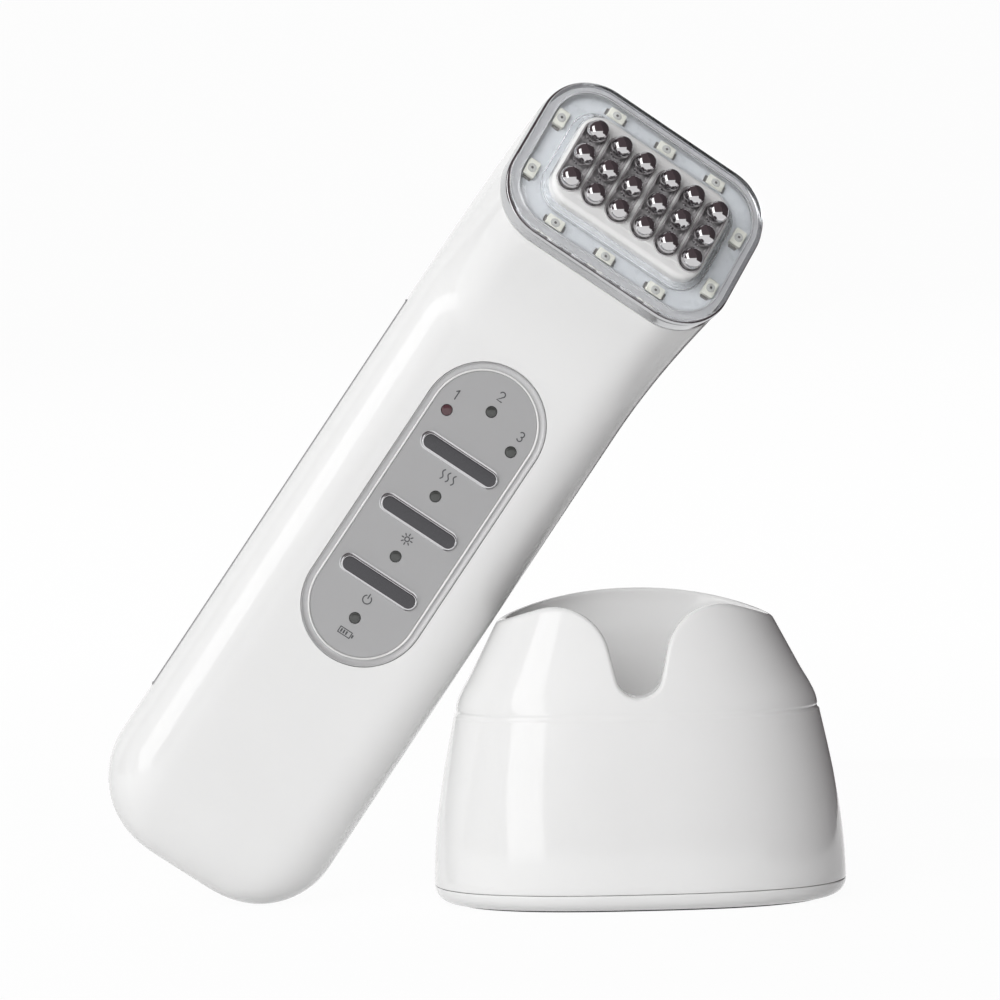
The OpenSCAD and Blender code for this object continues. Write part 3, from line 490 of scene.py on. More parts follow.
bezel_outer = [(fit, 0), (fit, 1.0), (fit + 0.04, 1.08), (fit + 0.1, bezel_face_z)]
cove = [(0.3 + cove_w * (1 - math.cos(u)), bezel_face_z - cove_d * math.sin(u))
        for u in turns(QUARTER, 14)]
bead_mid = (bezel_w - 0.32, recess_d - plate_sink + 0.04)
bead = [(bead_mid[0] - bead_r * math.cos(u), bead_mid[1] + bead_r * math.sin(u))
        for u in turns(2 * QUARTER, 10)]
bezel_inner = [(bezel_w, recess_d - plate_sink), (bezel_w, 0)]
bezel = loft("panel_bezel_ring",
             ring_of(panel_w, panel_straight + panel_w, panel_w / 2,
                     bezel_outer + cove + bead + bezel_inner, 40, (0, panel_z)),
             on_front(recess_d), ring_shut=True, crease=50)
silver_paint = finish("satin_silver_paint", (0.60, 0.60, 0.605), drift=0.04, rough=(0.38, 0.46),
                      grain=0.35, bump=0.003, bump_grain=0.12, Metallic=0.35)
bead_silver = finish("bright_silver_bead", (0.82, 0.82, 0.81), drift=0.03, rough=(0.3, 0.38),
                     grain=0.35, Metallic=0.2)
fit_out(bezel, "handset", "bezel_silver", [silver_paint, bead_silver], "panel_bezel")
ring_n = len(rounded(panel_w, panel_straight + panel_w, panel_w / 2, 40))
bead_from = len(bezel_outer + cove)
for face in bezel.data.polygons:
    low, high = min(face.vertices) // ring_n, max(face.vertices) // ring_n
    face.material_index = 1 if bead_from <= low and high < bead_from + len(bead) else 0

plate_in = bezel_w + fit / 3
plate_w = panel_w - 2 * plate_in
plate = loft("panel_face_plate",
             ring_of(plate_w, panel_straight + plate_w, plate_w / 2,
                     [(0, 0), (0, recess_d - plate_sink - 0.06), (0.06, recess_d - plate_sink)],
                     32, (0, panel_z)), on_front(recess_d))
carve(plate, [together(panel_openings(16, -1, 2, on_front(recess_d)))])
soften(plate, plate_edge_r, 2, 60)
silver_film = finish("satin_silver_film", (0.44, 0.44, 0.445), drift=0.03, rough=(0.38, 0.46),
                     grain=0.25, bump=0.003, bump_grain=0.1, Metallic=0.25)
fit_out(plate, "handset", "plate_silver", silver_film, "panel_plate")

# ---- the marks on the plate ----
# Plain digits over the three level lights, and simple signs for heat, light, power and battery.
# They are printed in dark grey ink, here a few hundredths of a millimetre thick.
ink = finish("printed_grey_ink", (0.09, 0.09, 0.095), drift=0.1, rough=(0.45, 0.6), grain=0.3)
ink_t = 0.03
ink_w = 0.30
digit_h = 2.3
digit_above = 4.3
sign_below = 4.9
charge_below = 4.1


def arc(x, z, r, start, end, steps=20):
    """Points of an arc, its angles in degrees, anticlockwise from +X."""
    return [Vector((x + r * math.cos(math.radians(u)), z + r * math.sin(math.radians(u))))
            for u in evenly(start, end, steps)]


def stroke(line, width=ink_w):
    """A line of ink with round ends, drawn on the plate."""
    ways = [(b - a).normalized() for a, b in zip(line, line[1:])]
    ways = [ways[0]] + [(a + b).normalized() for a, b in zip(ways, ways[1:])] + [ways[-1]]
    sides = [Vector((-w.y, w.x)) * width / 2 for w in ways]
    turn_steps = 6
    outline = [p + s for p, s in zip(line, sides)]
    outline += [line[-1] + Matrix.Rotation(-math.pi * k / turn_steps, 2) @ sides[-1]
                for k in range(1, turn_steps)]
    outline += [p - s for p, s in zip(line, sides)][::-1]
    outline += [line[0] + Matrix.Rotation(-math.pi * k / turn_steps, 2) @ -sides[0]
                for k in range(1, turn_steps)]
    n = len(line)
    cap = turn_steps - 1
    total = len(outline)
    mesh_points = raised(outline, -0.005) + raised(outline, ink_t)
    faces = [(i, (i + 1) % total, total + (i + 1) % total, total + i) for i in range(total)]
    for level, flip in ((0, 1), (total, -1)):
        quads = [(level + i, level + i + 1, level + 2 * n + cap - 2 - i, level + 2 * n + cap - 1 - i)
                 for i in range(n - 1)]
        ends = [tuple(level + i for i in range(n - 1, n + cap + 1)),
                tuple([level + 0] + [level + i for i in range(2 * n + cap - 1, total)])]
        faces += [q[::flip] for q in quads + ends]
    return solid("stroke", mesh_points, faces, on_front(plate_sink))


def shifted(line, x, z):
    """A line moved by x and z."""
    return [p + Vector((x, z)) for p in line]


digits = {
    "level_1": [[Vector((-0.45, 0.65)), Vector((0.1, digit_h / 2))],
                [Vector((0.1, digit_h / 2)), Vector((0.1, -digit_h / 2))]],
    "level_2": [arc(0, 0.5, 0.65, 165, -28)
                + [Vector((-0.62, -digit_h / 2)), Vector((0.68, -digit_h / 2))]],
    "level_3": [arc(0, 0.55, 0.6, 150, -80), arc(0, -0.55, 0.6, 80, -150)]}
marks = []
for eye, lines in digits.items():
    x, z = lens_spots[eye]
    marks += [stroke(shifted(line, x, z + digit_above)) for line in lines]
sign_z = {key: z - sign_below for key, z in button_zs.items()}
wave = [Vector((0.32 * math.sin(2 * math.pi * k / 24), mix(-1.2, 1.2, k / 24))) for k in range(25)]
marks += [stroke(shifted(wave, x, sign_z["level"])) for x in (-1.5, 0, 1.5)]
marks += [stroke(shifted(arc(0, 0, 0.55, 0, 350, 24), 0, sign_z["light"]))]
beams = [Vector((math.cos(u), math.sin(u))) for u in turns(4 * QUARTER, 8)[:-1]]
marks += [stroke(shifted([0.95 * beam, 1.4 * beam], 0, sign_z["light"])) for beam in beams]
marks += [stroke(shifted(arc(0, -0.1, 1.05, 125, 415, 36), 0, sign_z["power"])),
          stroke(shifted([Vector((0, 0.25)), Vector((0, 1.35))], 0, sign_z["power"]))]
cell_sign = [Vector((-1.7, 0.75)), Vector((1.5, 0.75)), Vector((1.5, -0.75)), Vector((-1.7, -0.75))]
charge_z = lens_spots["charge"][1] - charge_below
marks += [stroke(shifted([a, b], 0, charge_z), 0.24)
          for a, b in zip(cell_sign, cell_sign[1:] + cell_sign[:1])]
marks += [stroke(shifted([Vector((x, -h)), Vector((x, h))], 0, charge_z), 0.42)
          for x, h in ((-1.1, 0.3), (-0.4, 0.3), (0.3, 0.3), (1.95, 0.25))]
fit_out(together(marks), "handset", "inner_black", ink).name = "printed_marks"

# ---- the indicator lenses ----
# Six light pipes in smoked clear plastic, the first one dark red. Each is a turned rod with a
# slightly domed face, pushed through the plate from behind and held by a small collar.
indicator_t = 0.8
lens_foot = board_d - indicator_t - 0.3
lens_top = lens_foot - plate_sink + 0.1
lens_dome_h = 0.12
collar_t = 0.8
collar_out = 0.5
collar_z = lens_foot - (wall + fit + collar_t)


def turned(name, profile, place, at=(0, 0), steps=48, crease=32):
    """Solid turned about its axis from (radius, height) pairs that start and end on the axis."""
    rings = [raised(disc(2 * r, at, steps), h) for r, h in profile if r > 0]
    n = steps
    points = [Vector(p) for ring in rings for p in ring]
    foot, tip = len(points), len(points) + 1
    points += [Vector((*at, profile[0][1])), Vector((*at, profile[-1][1]))]
    faces = [(a * n + i, a * n + (i + 1) % n, (a + 1) * n + (i + 1) % n, (a + 1) * n + i)
             for a in range(len(rings) - 1) for i in range(n)]
    faces += [(foot, (i + 1) % n, i) for i in range(n)]
    last = (len(rings) - 1) * n
    faces += [(tip, last + i, last + (i + 1) % n) for i in range(n)]
    return solid(name, points, faces, place, crease)


smoked_lens = finish("smoked_lens", (0.055, 0.058, 0.055), drift=0.25, rough=(0.08, 0.14),
                     grain=0.9, Coat_Weight=0.5)
red_lens = finish("dark_red_lens", (0.085, 0.036, 0.042), drift=0.2, rough=(0.08, 0.14), grain=0.9,
                  Coat_Weight=0.5)
lens_r = lens_d / 2
collar_r = lens_r + collar_out
dome = [(lens_r * math.cos(u) * 0.86, lens_top - lens_dome_h + lens_dome_h * math.sin(u))
        for u in turns(QUARTER, 8)[:-1]]
for eye, spot in lens_spots.items():
    profile = ([(0, 0), (lens_r - 0.1, 0), (lens_r, 0.1), (lens_r, collar_z),
                (collar_r, collar_z), (collar_r, collar_z + collar_t), (lens_r, collar_z + collar_t),
                (lens_r, lens_top - 0.2), (lens_r - 0.05, lens_top - 0.13)]
               + dome + [(0, lens_top)])
    look = red_lens if eye == "level_1" else smoked_lens
    slot = "lens_red" if eye == "level_1" else "lens_smoke"
    fit_out(turned(f"indicator_{eye}", profile, on_front(lens_foot), spot), "handset", slot, look,
            f"lens_{eye}")

# ---- the buttons ----
# Three bars in moulded plastic with smoked chrome plating. A bright bevel runs round a darker,
# slightly crowned top, and a flange under the housing's wall keeps each one in its slot.
flange_t = 0.8
flange_gap = 0.1
flange_lip = 1
button_rise = 0.9
bevel_w = 0.34
bevel_h = 0.30
crown_h = 0.045
button_foot = wall + flange_gap + flange_t
button_top = button_foot - plate_sink + button_rise
smoked_chrome = finish("smoked_chrome_top", (0.095, 0.094, 0.10), drift=0.08, rough=(0.16, 0.24),
                       grain=2.2, bump=0.002, bump_grain=0.6, stretch=(1, 1, 3), Metallic=0.85)
bright_chrome = finish("bright_chrome", (0.72, 0.72, 0.735), drift=0.03, rough=(0.05, 0.09),
                       grain=1.5, Metallic=1.0)
bevel = [(bevel_w * (1 - math.cos(u)), button_top - bevel_w + bevel_h * math.sin(u))
         for u in turns(QUARTER, 6)]
crown = [(i, button_top - crown_h + crown_h * ((i - 0.45) / 1.6) ** 0.6)
         for i in (0.45, 0.6, 0.8, 1.1, 1.5, 2.05)]
bright_part = [(-flange_lip, 0), (-flange_lip, flange_t), (0, flange_t)] + bevel
dark_part = [(0.40, button_top - 0.07)] + crown
first_dark = len(rounded(button_l, button_h, button_h / 2, 14)) * len(bright_part)
for key, z in button_zs.items():
    bar = loft(f"button_bar_{key}",
               ring_of(button_l, button_h, button_h / 2, bright_part + dark_part, 14, (0, z)),
               on_front(button_foot), crease=40)
    fit_out(bar, f"button_{key}", "button_smoke", [bright_chrome, smoked_chrome], f"button_{key}")
    for face in bar.data.polygons:
        face.material_index = 1 if min(face.vertices) >= first_dark else 0

# ---- what the handset holds inside ----
# The green main board with its switches, plungers and lights, the battery in its holder, the
# transformer and the choke, and the ribbon to the head. All of them keep their CAD shapes.


def dress(look, *nodes):
    """Gives CAD nodes a finish."""
    for name in nodes:
        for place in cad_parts[name].material_slots:
            place.material = look


board_green = finish("green_circuit_board", (0.03, 0.17, 0.075), drift=0.25, rough=(0.25, 0.4),
                     grain=1.2, bump=0.02, bump_grain=0.8)
inner_black = finish("moulded_black_plastic", (0.02, 0.02, 0.022), drift=0.15, rough=(0.4, 0.55),
                     grain=1.5, bump=0.006)
warm_ivory = finish("ivory_light_package", (0.62, 0.615, 0.55), drift=0.05, rough=(0.3, 0.4),
                    grain=0.6, bump=0.004, bump_grain=0.2)
zinc_steel = finish("zinc_plated_steel", (0.52, 0.52, 0.54), drift=0.08, rough=(0.25, 0.38),
                    grain=0.8, bump=0.004, bump_grain=0.3, Metallic=1.0)
cell_wrap = finish("blue_shrink_wrap", (0.03, 0.13, 0.36), drift=0.1, rough=(0.25, 0.4), grain=5,
                   bump=0.02, bump_grain=3)
ferrite = finish("sintered_ferrite", (0.035, 0.032, 0.032), drift=0.3, rough=(0.6, 0.8), grain=0.5,
                 bump=0.015, bump_grain=0.25)
amber_film = finish("amber_ribbon_film", (0.45, 0.20, 0.03), drift=0.12, rough=(0.2, 0.3),
                    grain=1.5, bump=0.008, bump_grain=1)
gold_plate = finish("gold_plated_brass", (0.80, 0.53, 0.16), drift=0.06, rough=(0.12, 0.22),
                    grain=0.7, bump=0.002, bump_grain=0.2, Metallic=1.0)
carrier_white = finish("moulded_white_plastic", (0.72, 0.72, 0.71), drift=0.03, rough=(0.3, 0.4),
                       grain=3, bump=0.006)
dress(board_green, "main_board", "charge_board")
dress(inner_black, "switch_bases", "plunger_level", "plunger_light", "plunger_power",
      "battery_holder", "pin_block")
dress(warm_ivory, "indicator_leds")
dress(cell_wrap, "battery_cell")
dress(ferrite, "rf_transformer", "power_choke")
dress(amber_film, "head_flex")
dress(gold_plate, "charge_contacts", "electrode_pins", "contact_pin_left", "contact_pin_right")
dress(carrier_white, "head_carrier")

# ---- the screws ----
# Zinc-plated pan-head screws with a cross recess: four for the main board, four that pull the
# head's band onto its carrier, and four under the cradle's base.
thread_pitch = 0.8
thread_d = 0.12
side_share = 0.45
cross_l_share = 0.6
cross_w_share = 0.13
board_t = 1.6


def cross_screws(name, node, body, spots, place, head_d, head_h, shank_d, shank_l):
    """Screws whose heads rise from place towards +Z, each with a cross in its head."""
    shank_r = shank_d / 2
    threads = []
    for k in range(int(shank_l / thread_pitch)):
        threads += [(shank_r - thread_d, -shank_l + thread_pitch / 2 + thread_pitch * k),
                    (shank_r, -shank_l + thread_pitch + thread_pitch * k)]
    threads = [t for t in threads if t[1] < -0.2]
    bulge = [(head_d / 2 * math.cos(u), head_h * (side_share + (1 - side_share) * math.sin(u)))
             for u in turns(QUARTER, 7)[:-1]]
    profile = ([(0, -shank_l), (shank_r - 0.3, -shank_l)] + threads
               + [(shank_r, -0.1), (shank_r, 0), (head_d / 2, 0)] + bulge + [(0, head_h)])
    cross_l = head_d * cross_l_share
    cross_w = head_d * cross_w_share
    made = []
    for at in spots:
        cross = [prism(rounded(w, l, 0.05, 2, at), head_h * side_share, head_h * 2, place)
                 for w, l in ((cross_l, cross_w), (cross_w, cross_l))]
        made.append(carve(turned(name, profile, place, at, 32), cross))
    fit_out(together(made), body, "screw_steel", zinc_steel, node).name = name


board_back = (Matrix.Translation((0, board_d + board_t - front_y, 0))
              @ Matrix.Rotation(-QUARTER, 4, "X"))
cross_screws("board_screw_set", "board_screws", "handset", [(x, -z) for x, z in boss_spots],
             ON_REST @ board_back, head_d=4, head_h=1.4, shank_d=1.9, shank_l=5.6)

# ---- the chrome band and its seal ----
# The treatment head starts with a thin black seal on the housing's mouth and a chromed band
# 4 mm high, plated plastic with rounded edges and a shelf inside that the screws pull on.
gasket_t = 0.3
band_h = 4
band_wall = 1.6
band_edge_r = 0.25
band_round_r = 0.7
shelf_t = 1.2
shelf_in = 6
carrier_t = 1.2
screw_from_arc = 4.2
screw_hole_d = 1.8


def on_head(height):
    """Drawn as the treatment face is looked at, at a height above the housing's mouth."""
    return (ON_REST @ Matrix.Translation((0, mouth_mid.x, mouth_mid.y))
            @ Matrix.Rotation(math.radians(head_tilt), 4, "X") @ Matrix.Translation((0, 0, height)))


def turn_in(inset, height, r, start, end, steps=5):
    """(inset, height) points of a rounded edge; 0 degrees points outwards, 90 up."""
    return [(inset - r * math.cos(math.radians(u)), height + r * math.sin(math.radians(u)))
            for u in evenly(start, end, steps)]


band_profile = (turn_in(band_edge_r, band_edge_r, band_edge_r, -90, 0)
                + turn_in(band_round_r, band_h - band_round_r, band_round_r, 0, 90, 8)
                + turn_in(band_wall - band_edge_r, band_h - band_edge_r, band_edge_r, 90, 180)
                + [(band_wall, shelf_t), (shelf_in, shelf_t), (shelf_in, 0)])
band = loft("chrome_head_band", ring_of(head_w, head_l, head_r, band_profile, 24),
            on_head(gasket_t), ring_shut=True, crease=50)
screw_out = (head_r - screw_from_arc) * math.cos(math.radians(45))
screw_spots = [(x * (head_w / 2 - head_r + screw_out), y * (head_l / 2 - head_r + screw_out))
               for x in (-1, 1) for y in (-1, 1)]
carve(band, [pegs(screw_hole_d, screw_spots, -1, shelf_t + 1, on_head(gasket_t), 24)], crease=50)
band_chrome = finish("chromed_band", (0.56, 0.565, 0.575), drift=0.03, rough=(0.12, 0.18), grain=4,
                     Metallic=1.0)
fit_out(band, "handset", "chrome_band", band_chrome, "chrome_ring")
seal_black = finish("black_seal_rubber", (0.03, 0.03, 0.03), drift=0.2, rough=(0.55, 0.7),
                    grain=0.8, bump=0.01)
dress(seal_black, "head_gasket")
flip_down = Matrix.Rotation(2 * QUARTER, 4, "X")
cross_screws("head_screw_set", "head_screws", "handset", [(x, -y) for x, y in screw_spots],
             on_head(gasket_t - carrier_t) @ flip_down,
             head_d=2.8, head_h=1.2, shank_d=1.7, shank_l=2.3)

# ---- the light ring under the clear cover ----
# A pale circuit board lies on the band's shelf and carries ten infrared lights: each an ivory
# package with a round lens, a small dark die in its middle and a tinned pad at each end.
led_board_t = 1
led_floor = gasket_t + shelf_t + led_board_t
electrode_w = 41.4
electrode_l = 25
electrode_r = 5.6
cover_collar_t = 1.1
led_w = 4.4
led_l = 3.2
led_t = 1.7
led_lens_r = 1.15
led_lens_z = led_t - 0.3
led_dome_h = 0.18
die_r = 0.34
pad_size = (0.9, 2.2)
led_edge = (head_l / 2 - band_wall + electrode_l / 2 + cover_collar_t) / 2 - 0.5
led_side = (head_w / 2 - band_wall + electrode_w / 2 + cover_collar_t) / 2 + 0.1
led_spots = ([(x, y, 0) for x in (-14.1, 0, 14.1) for y in (-led_edge, led_edge)]
             + [(x, y, 90) for x in (-led_side, led_side) for y in (-7.7, 7.7)])
board_white = finish("pale_light_board", (0.55, 0.565, 0.58), drift=0.05, rough=(0.25, 0.35),
                     grain=2.5, bump=0.004, bump_grain=0.5)
dress(board_white, "led_board")
solder = finish("tinned_pads", (0.30, 0.29, 0.28), drift=0.15, rough=(0.3, 0.45), grain=0.5,
                bump=0.01, bump_grain=0.3, Metallic=0.8)
led_lens = finish("light_lens", (0.42, 0.42, 0.40), drift=0.2, rough=(0.1, 0.18), grain=0.4)
die_dark = finish("light_die", (0.10, 0.09, 0.09), drift=0.2, rough=(0.2, 0.3), grain=0.2)
package = ring_of(led_w, led_l, 0.35, [(0, 0.1), (0, led_t - 0.35), (0.1, led_t - 0.25),
                                       (0.18, led_t - 0.22)], 3)
lens_profile = ([(0, led_lens_z), (led_lens_r, led_lens_z), (led_lens_r, led_t - led_dome_h)]
                + [(led_lens_r * math.cos(u), led_t - led_dome_h + led_dome_h * math.sin(u))
                   for u in turns(QUARTER, 5)[1:-1]] + [(0, led_t)])
die_profile = [(0, led_t - 0.1), (die_r, led_t - 0.1), (die_r, led_t), (0.3, led_t + 0.02),
               (0, led_t + 0.02)]
pads = [ring_of(*pad_size, 0.2, [(0, 0), (0, 0.35), (0.15, 0.5)], 3, (x, 0))
        for x in (-led_w / 2 - 0.2, led_w / 2 + 0.2)]
parts = {"package": [], "lens": [], "die": [], "pads": []}
for x, y, angle in led_spots:
    spot = (on_head(led_floor) @ Matrix.Translation((x, y, 0))
            @ Matrix.Rotation(math.radians(angle), 4, "Z"))
    parts["package"].append(loft("package", package, spot))
    parts["lens"].append(turned("lens", lens_profile, spot, steps=32))
    parts["die"].append(turned("die", die_profile, spot, steps=20))
    parts["pads"] += [loft("pad", pad, spot) for pad in pads]
looks = {"package": warm_ivory, "lens": led_lens, "die": die_dark, "pads": solder}
for part, made in parts.items():
    stands_for = ["infrared_leds"] if part == "package" else []
    row = fit_out(together(made), "handset", "led_ivory", looks[part], *stands_for)
    row.name = f"infrared_{part}"

# ---- the clear cover ----
# A moulded ring in clear polycarbonate with a rounded rim. It closes the light ring, rests on
# the chrome band, and its collar goes down round the electrode plate to the board.
cover_h = 2
roof_t = 1.3
band_top = gasket_t + band_h
cover_top = band_top + cover_h
rim_in = 0.3
cover_w = head_w - 0.4
cover_l = head_l - 1.3
cover_r = head_r - 0.4
inner_w = electrode_w + 0.6
inner_l = electrode_l + 0.6
inner_r = electrode_r + 0.3
skirt = band_wall + 0.7
skirt_z = band_top + 0.06
rim_r = 1.0
valley = 0.26
roof_z = cover_top - roof_t


def step(w, l, r, profile):
    """Width, length, corner radius and height of a rounded outline along its profile."""
    return [(w - 2 * i, l - 2 * i, r - i, h) for i, h in profile]


rim = ([(rim_in, skirt_z)] + turn_in(rim_in + rim_r, cover_top - rim_r, rim_r, 0, 90, 8)
       + [(2.2, cover_top - 0.04), (2.6, cover_top - 0.22), (3.0, cover_top - valley)])
collar = [(-2.2, cover_top - valley), (-1.7, cover_top - 0.2), (-1.25, cover_top - 0.05),
          (-0.5, cover_top), (-0.15, cover_top - 0.08), (0, cover_top - 0.3), (0, led_floor),
          (-cover_collar_t, led_floor), (-cover_collar_t, roof_z - 0.4),
          (-cover_collar_t - 0.35, roof_z)]
underside = [(skirt + 0.5, roof_z), (skirt, roof_z - 0.3), (skirt, skirt_z)]
ribs = (step(cover_w, cover_l, cover_r, rim) + step(inner_w, inner_l, inner_r, collar)
        + step(cover_w, cover_l, cover_r, underside))
clear = loft("clear_light_cover", [raised(rounded(w, l, r, 20), h) for w, l, r, h in ribs],
             on_head(0), ring_shut=True, crease=45)


def clear_finish(name, colour, rough, grain):
    """Clear plastic; lamps shine through it, as they do through a thin sheet. It bends light
    less than solid polycarbonate does, so that the thin rim stays as clear as the real one."""
    look = finish(name, colour, drift=0.01, rough=rough, grain=grain, Transmission_Weight=1.0,
                  IOR=1.38)
    nodes, links = look.node_tree.nodes, look.node_tree.links
    rays = nodes.new("ShaderNodeLightPath")
    through = nodes.new("ShaderNodeBsdfTransparent")
    through.inputs["Color"].default_value = (0.93, 0.94, 0.95, 1)
    either = nodes.new("ShaderNodeMixShader")
    links.new(rays.outputs["Is Shadow Ray"], either.inputs[0])
    links.new(nodes["Principled BSDF"].outputs[0], either.inputs[1])
    links.new(through.outputs[0], either.inputs[2])
    links.new(either.outputs[0], nodes["Material Output"].inputs["Surface"])
    return look


clear_plastic = clear_finish("clear_polycarbonate", (0.93, 0.937, 0.945), (0.03, 0.06), 6)
fit_out(clear, "handset", "clear_plastic", clear_plastic, "clear_cover")

# ---- the grey backing of the clear cover's rim ----
# A thin grey ring lies under the skirt's foot and stands up behind it, and shows through the clear
# rim as a grey line. Its grey is painted shade that stands in for the grey tone of the clear rim.
rim_backing_t = 0.05
rim_backing_out = 1.2
rim_backing_in = skirt + 0.3
rim_backing_top = roof_z - 0.35
rim_backing_profile = [(rim_backing_out, band_top), (rim_backing_out, band_top + rim_backing_t), (skirt + 0.02, band_top + rim_backing_t),
                (skirt + 0.02, rim_backing_top), (rim_backing_in, rim_backing_top), (rim_backing_in, band_top)]
rim_backing = loft("rim_shade_backing", ring_of(cover_w, cover_l, cover_r, rim_backing_profile, 20), on_head(0),
            ring_shut=True, crease=45)
# painted shade: this grey, seen through the clear rim, stands in for the rim's grey tone
painted_rim_shade = finish("painted_rim_shade_grey", (0.36, 0.36, 0.365), drift=0.08, rough=(0.4, 0.5), grain=1.0,
                   bump=0.004)
fit_out(rim_backing, "handset", "seal_black", painted_rim_shade)

# ---- the electrode plate and its bars ----
# A glossy white moulding with six slots. Each slot is lined with a pressed chrome trough that
# holds three chrome balls on short necks, the contacts that touch the skin.
plate_rise = 2
plate_top = cover_top + plate_rise
plate_h = plate_top - led_floor
slot_floor = 3.4
bar_pitch = 6.7
bar_group_gap = 0.4
ball_d = 5.3
ball_pitch = 7
ball_rise = 1.6
slot_w = 6.2
slot_l = 2 * ball_pitch + slot_w
slot_wall = 0.45
plate_round = 1.3
plate_bevel = 0.13
electrode_hole_d = 1.7
bar_xs = [(i - 3.5) * bar_pitch + math.copysign(bar_group_gap / 2, i - 3.5) for i in range(1, 7)]
electrode = loft("electrode_plate_body",
                 ring_of(electrode_w, electrode_l, electrode_r, [(0, 0), (0, plate_h - plate_round)]
                         + turn_in(plate_round, plate_h - plate_round, plate_round, 0, 90, 9)[1:],
                         20), on_head(led_floor))
carve(electrode, [together([prism(rounded(slot_w, slot_l, slot_w / 2, 14, (x, 0)), slot_floor,
                                  plate_h + 1, on_head(led_floor)) for x in bar_xs])])
soften(electrode, plate_bevel, 2, 60)
carve(electrode, [pegs(electrode_hole_d, [(x, 0) for x in bar_xs], -1, slot_floor + 1,
                       on_head(led_floor), 24)])
fit_out(electrode, "handset", "white_gloss", white_plastic, "electrode_plate")

ball_chrome = finish("mirror_chrome", (0.60, 0.59, 0.60), drift=0.03, rough=(0.02, 0.05),
                     grain=1.2, Metallic=1.0)
trough_chrome = finish("satin_chrome", (0.78, 0.77, 0.775), drift=0.03, rough=(0.2, 0.28),
                       grain=1.2, Metallic=0.7)
trough_floor = led_floor + slot_floor
trough_h = plate_top - trough_floor
lining = (turn_in(0.35, 0.35, 0.3, -90, 0, 4)
          + [(0.05, trough_h - 0.12), (0.13, trough_h + 0.02), (0.3, trough_h + 0.06),
             (slot_wall, trough_h - 0.02)]
          + [(slot_wall, slot_wall + 0.6), (slot_wall + 0.18, slot_wall + 0.18),
             (slot_wall + 0.6, slot_wall)])
ball_z = trough_h + ball_rise
ball_r = ball_d / 2
neck_r = 1.3
neck_turn = math.radians(-61)
neck_foot = slot_wall - 0.05
ball_profile = ([(0, neck_foot), (neck_r + 0.35, neck_foot), (neck_r + 0.12, slot_wall + 0.15),
                 (neck_r, slot_wall + 0.45)]
                + [(ball_r * math.cos(u), ball_z + ball_r * math.sin(u))
                   for u in evenly(neck_turn, QUARTER, 28)[:-1]]
                + [(0, ball_z + ball_r)])
for i, x in enumerate(bar_xs, 1):
    trough = loft("trough", ring_of(slot_w, slot_l, slot_w / 2, lining, 14, (x, 0)),
                  on_head(trough_floor), crease=50)
    balls = [turned("ball", ball_profile, on_head(trough_floor), (x, y), 56)
             for y in (-ball_pitch, 0, ball_pitch)]
    trough_faces = len(trough.data.polygons)
    row = fit_out(together([trough] + balls), "handset", "electrode_chrome",
                  [trough_chrome, ball_chrome], f"electrode_bar_{i}")
    row.name = f"electrode_row_{i}"
    for face in row.data.polygons[trough_faces:]:
        face.material_index = 1

# ---- the cradle's shell ----
# A deep cup moulded in the same polished white plastic, about 2 mm thick. Its rim is an arch
# with a half-round edge that dips into the notch in front, and a fine groove runs round its
# shoulder, deepest at the sides. Widths end in _a and depths in _b, both as half sizes.
IN_PLACE = Matrix.Identity(4)
foot_a = 49
foot_b = 36
foot_soft = 2.6
seam_z = 4.3
ledge_z = 44
ledge_a = 43.6
ledge_b = 32.5
ledge_step_a = 0.55
ledge_step_b = 0.32
ledge_bevel = (44.3, 45.7)
groove_dips = ((44.22, 0), (44.35, 0.04), (44.6, 0.22), (44.8, 0.3), (45.1, 0.33), (45.3, 0.3),
               (45.5, 0.2), (45.7, 0.03), (45.8, 0))
shoulder_z = 46
kink_z = 53.4
kink_a = 39.7
kink_ease = 1.5
rim_a = 32.6
rim_b = 23
rim_z = 67
rim_top_z = 72.8
cradle_wall = 2.1
floor_z = 14
notch_z = rim_top_z - 23.3
notch_lip_z = rim_top_z - 12.3
notch_r = 5.4
notch_slope = math.radians(13)
hollow_z = notch_z - 3.1
shell_z = seam_z + 0.1
shell_edge_r = 0.22
pocket_a = rim_a - cradle_wall
pocket_b = rim_b - cradle_wall
pocket_low_b = 17
pocket_round_a = 9
pocket_round_b = 4
pocket_z = rim_z - 6
arch_r = (rim_a**2 + (rim_top_z - rim_z)**2) / (2 * (rim_top_z - rim_z))
arch_c = rim_top_z - arch_r
notch_c = notch_z + notch_r
notch_x1 = notch_r / math.cos(notch_slope) + (notch_lip_z - notch_c) * math.tan(notch_slope)
lip_r = ((arch_r**2 - notch_x1**2 - (notch_lip_z - arch_c)**2)
         / (2 * (arch_r + notch_x1 * math.cos(notch_slope)
                 - (notch_lip_z - arch_c) * math.sin(notch_slope))))
lip_x = notch_x1 + lip_r * math.cos(notch_slope)
lip_z = notch_lip_z - lip_r * math.sin(notch_slope)
lip_end = lip_x * arch_r / (arch_r - lip_r)


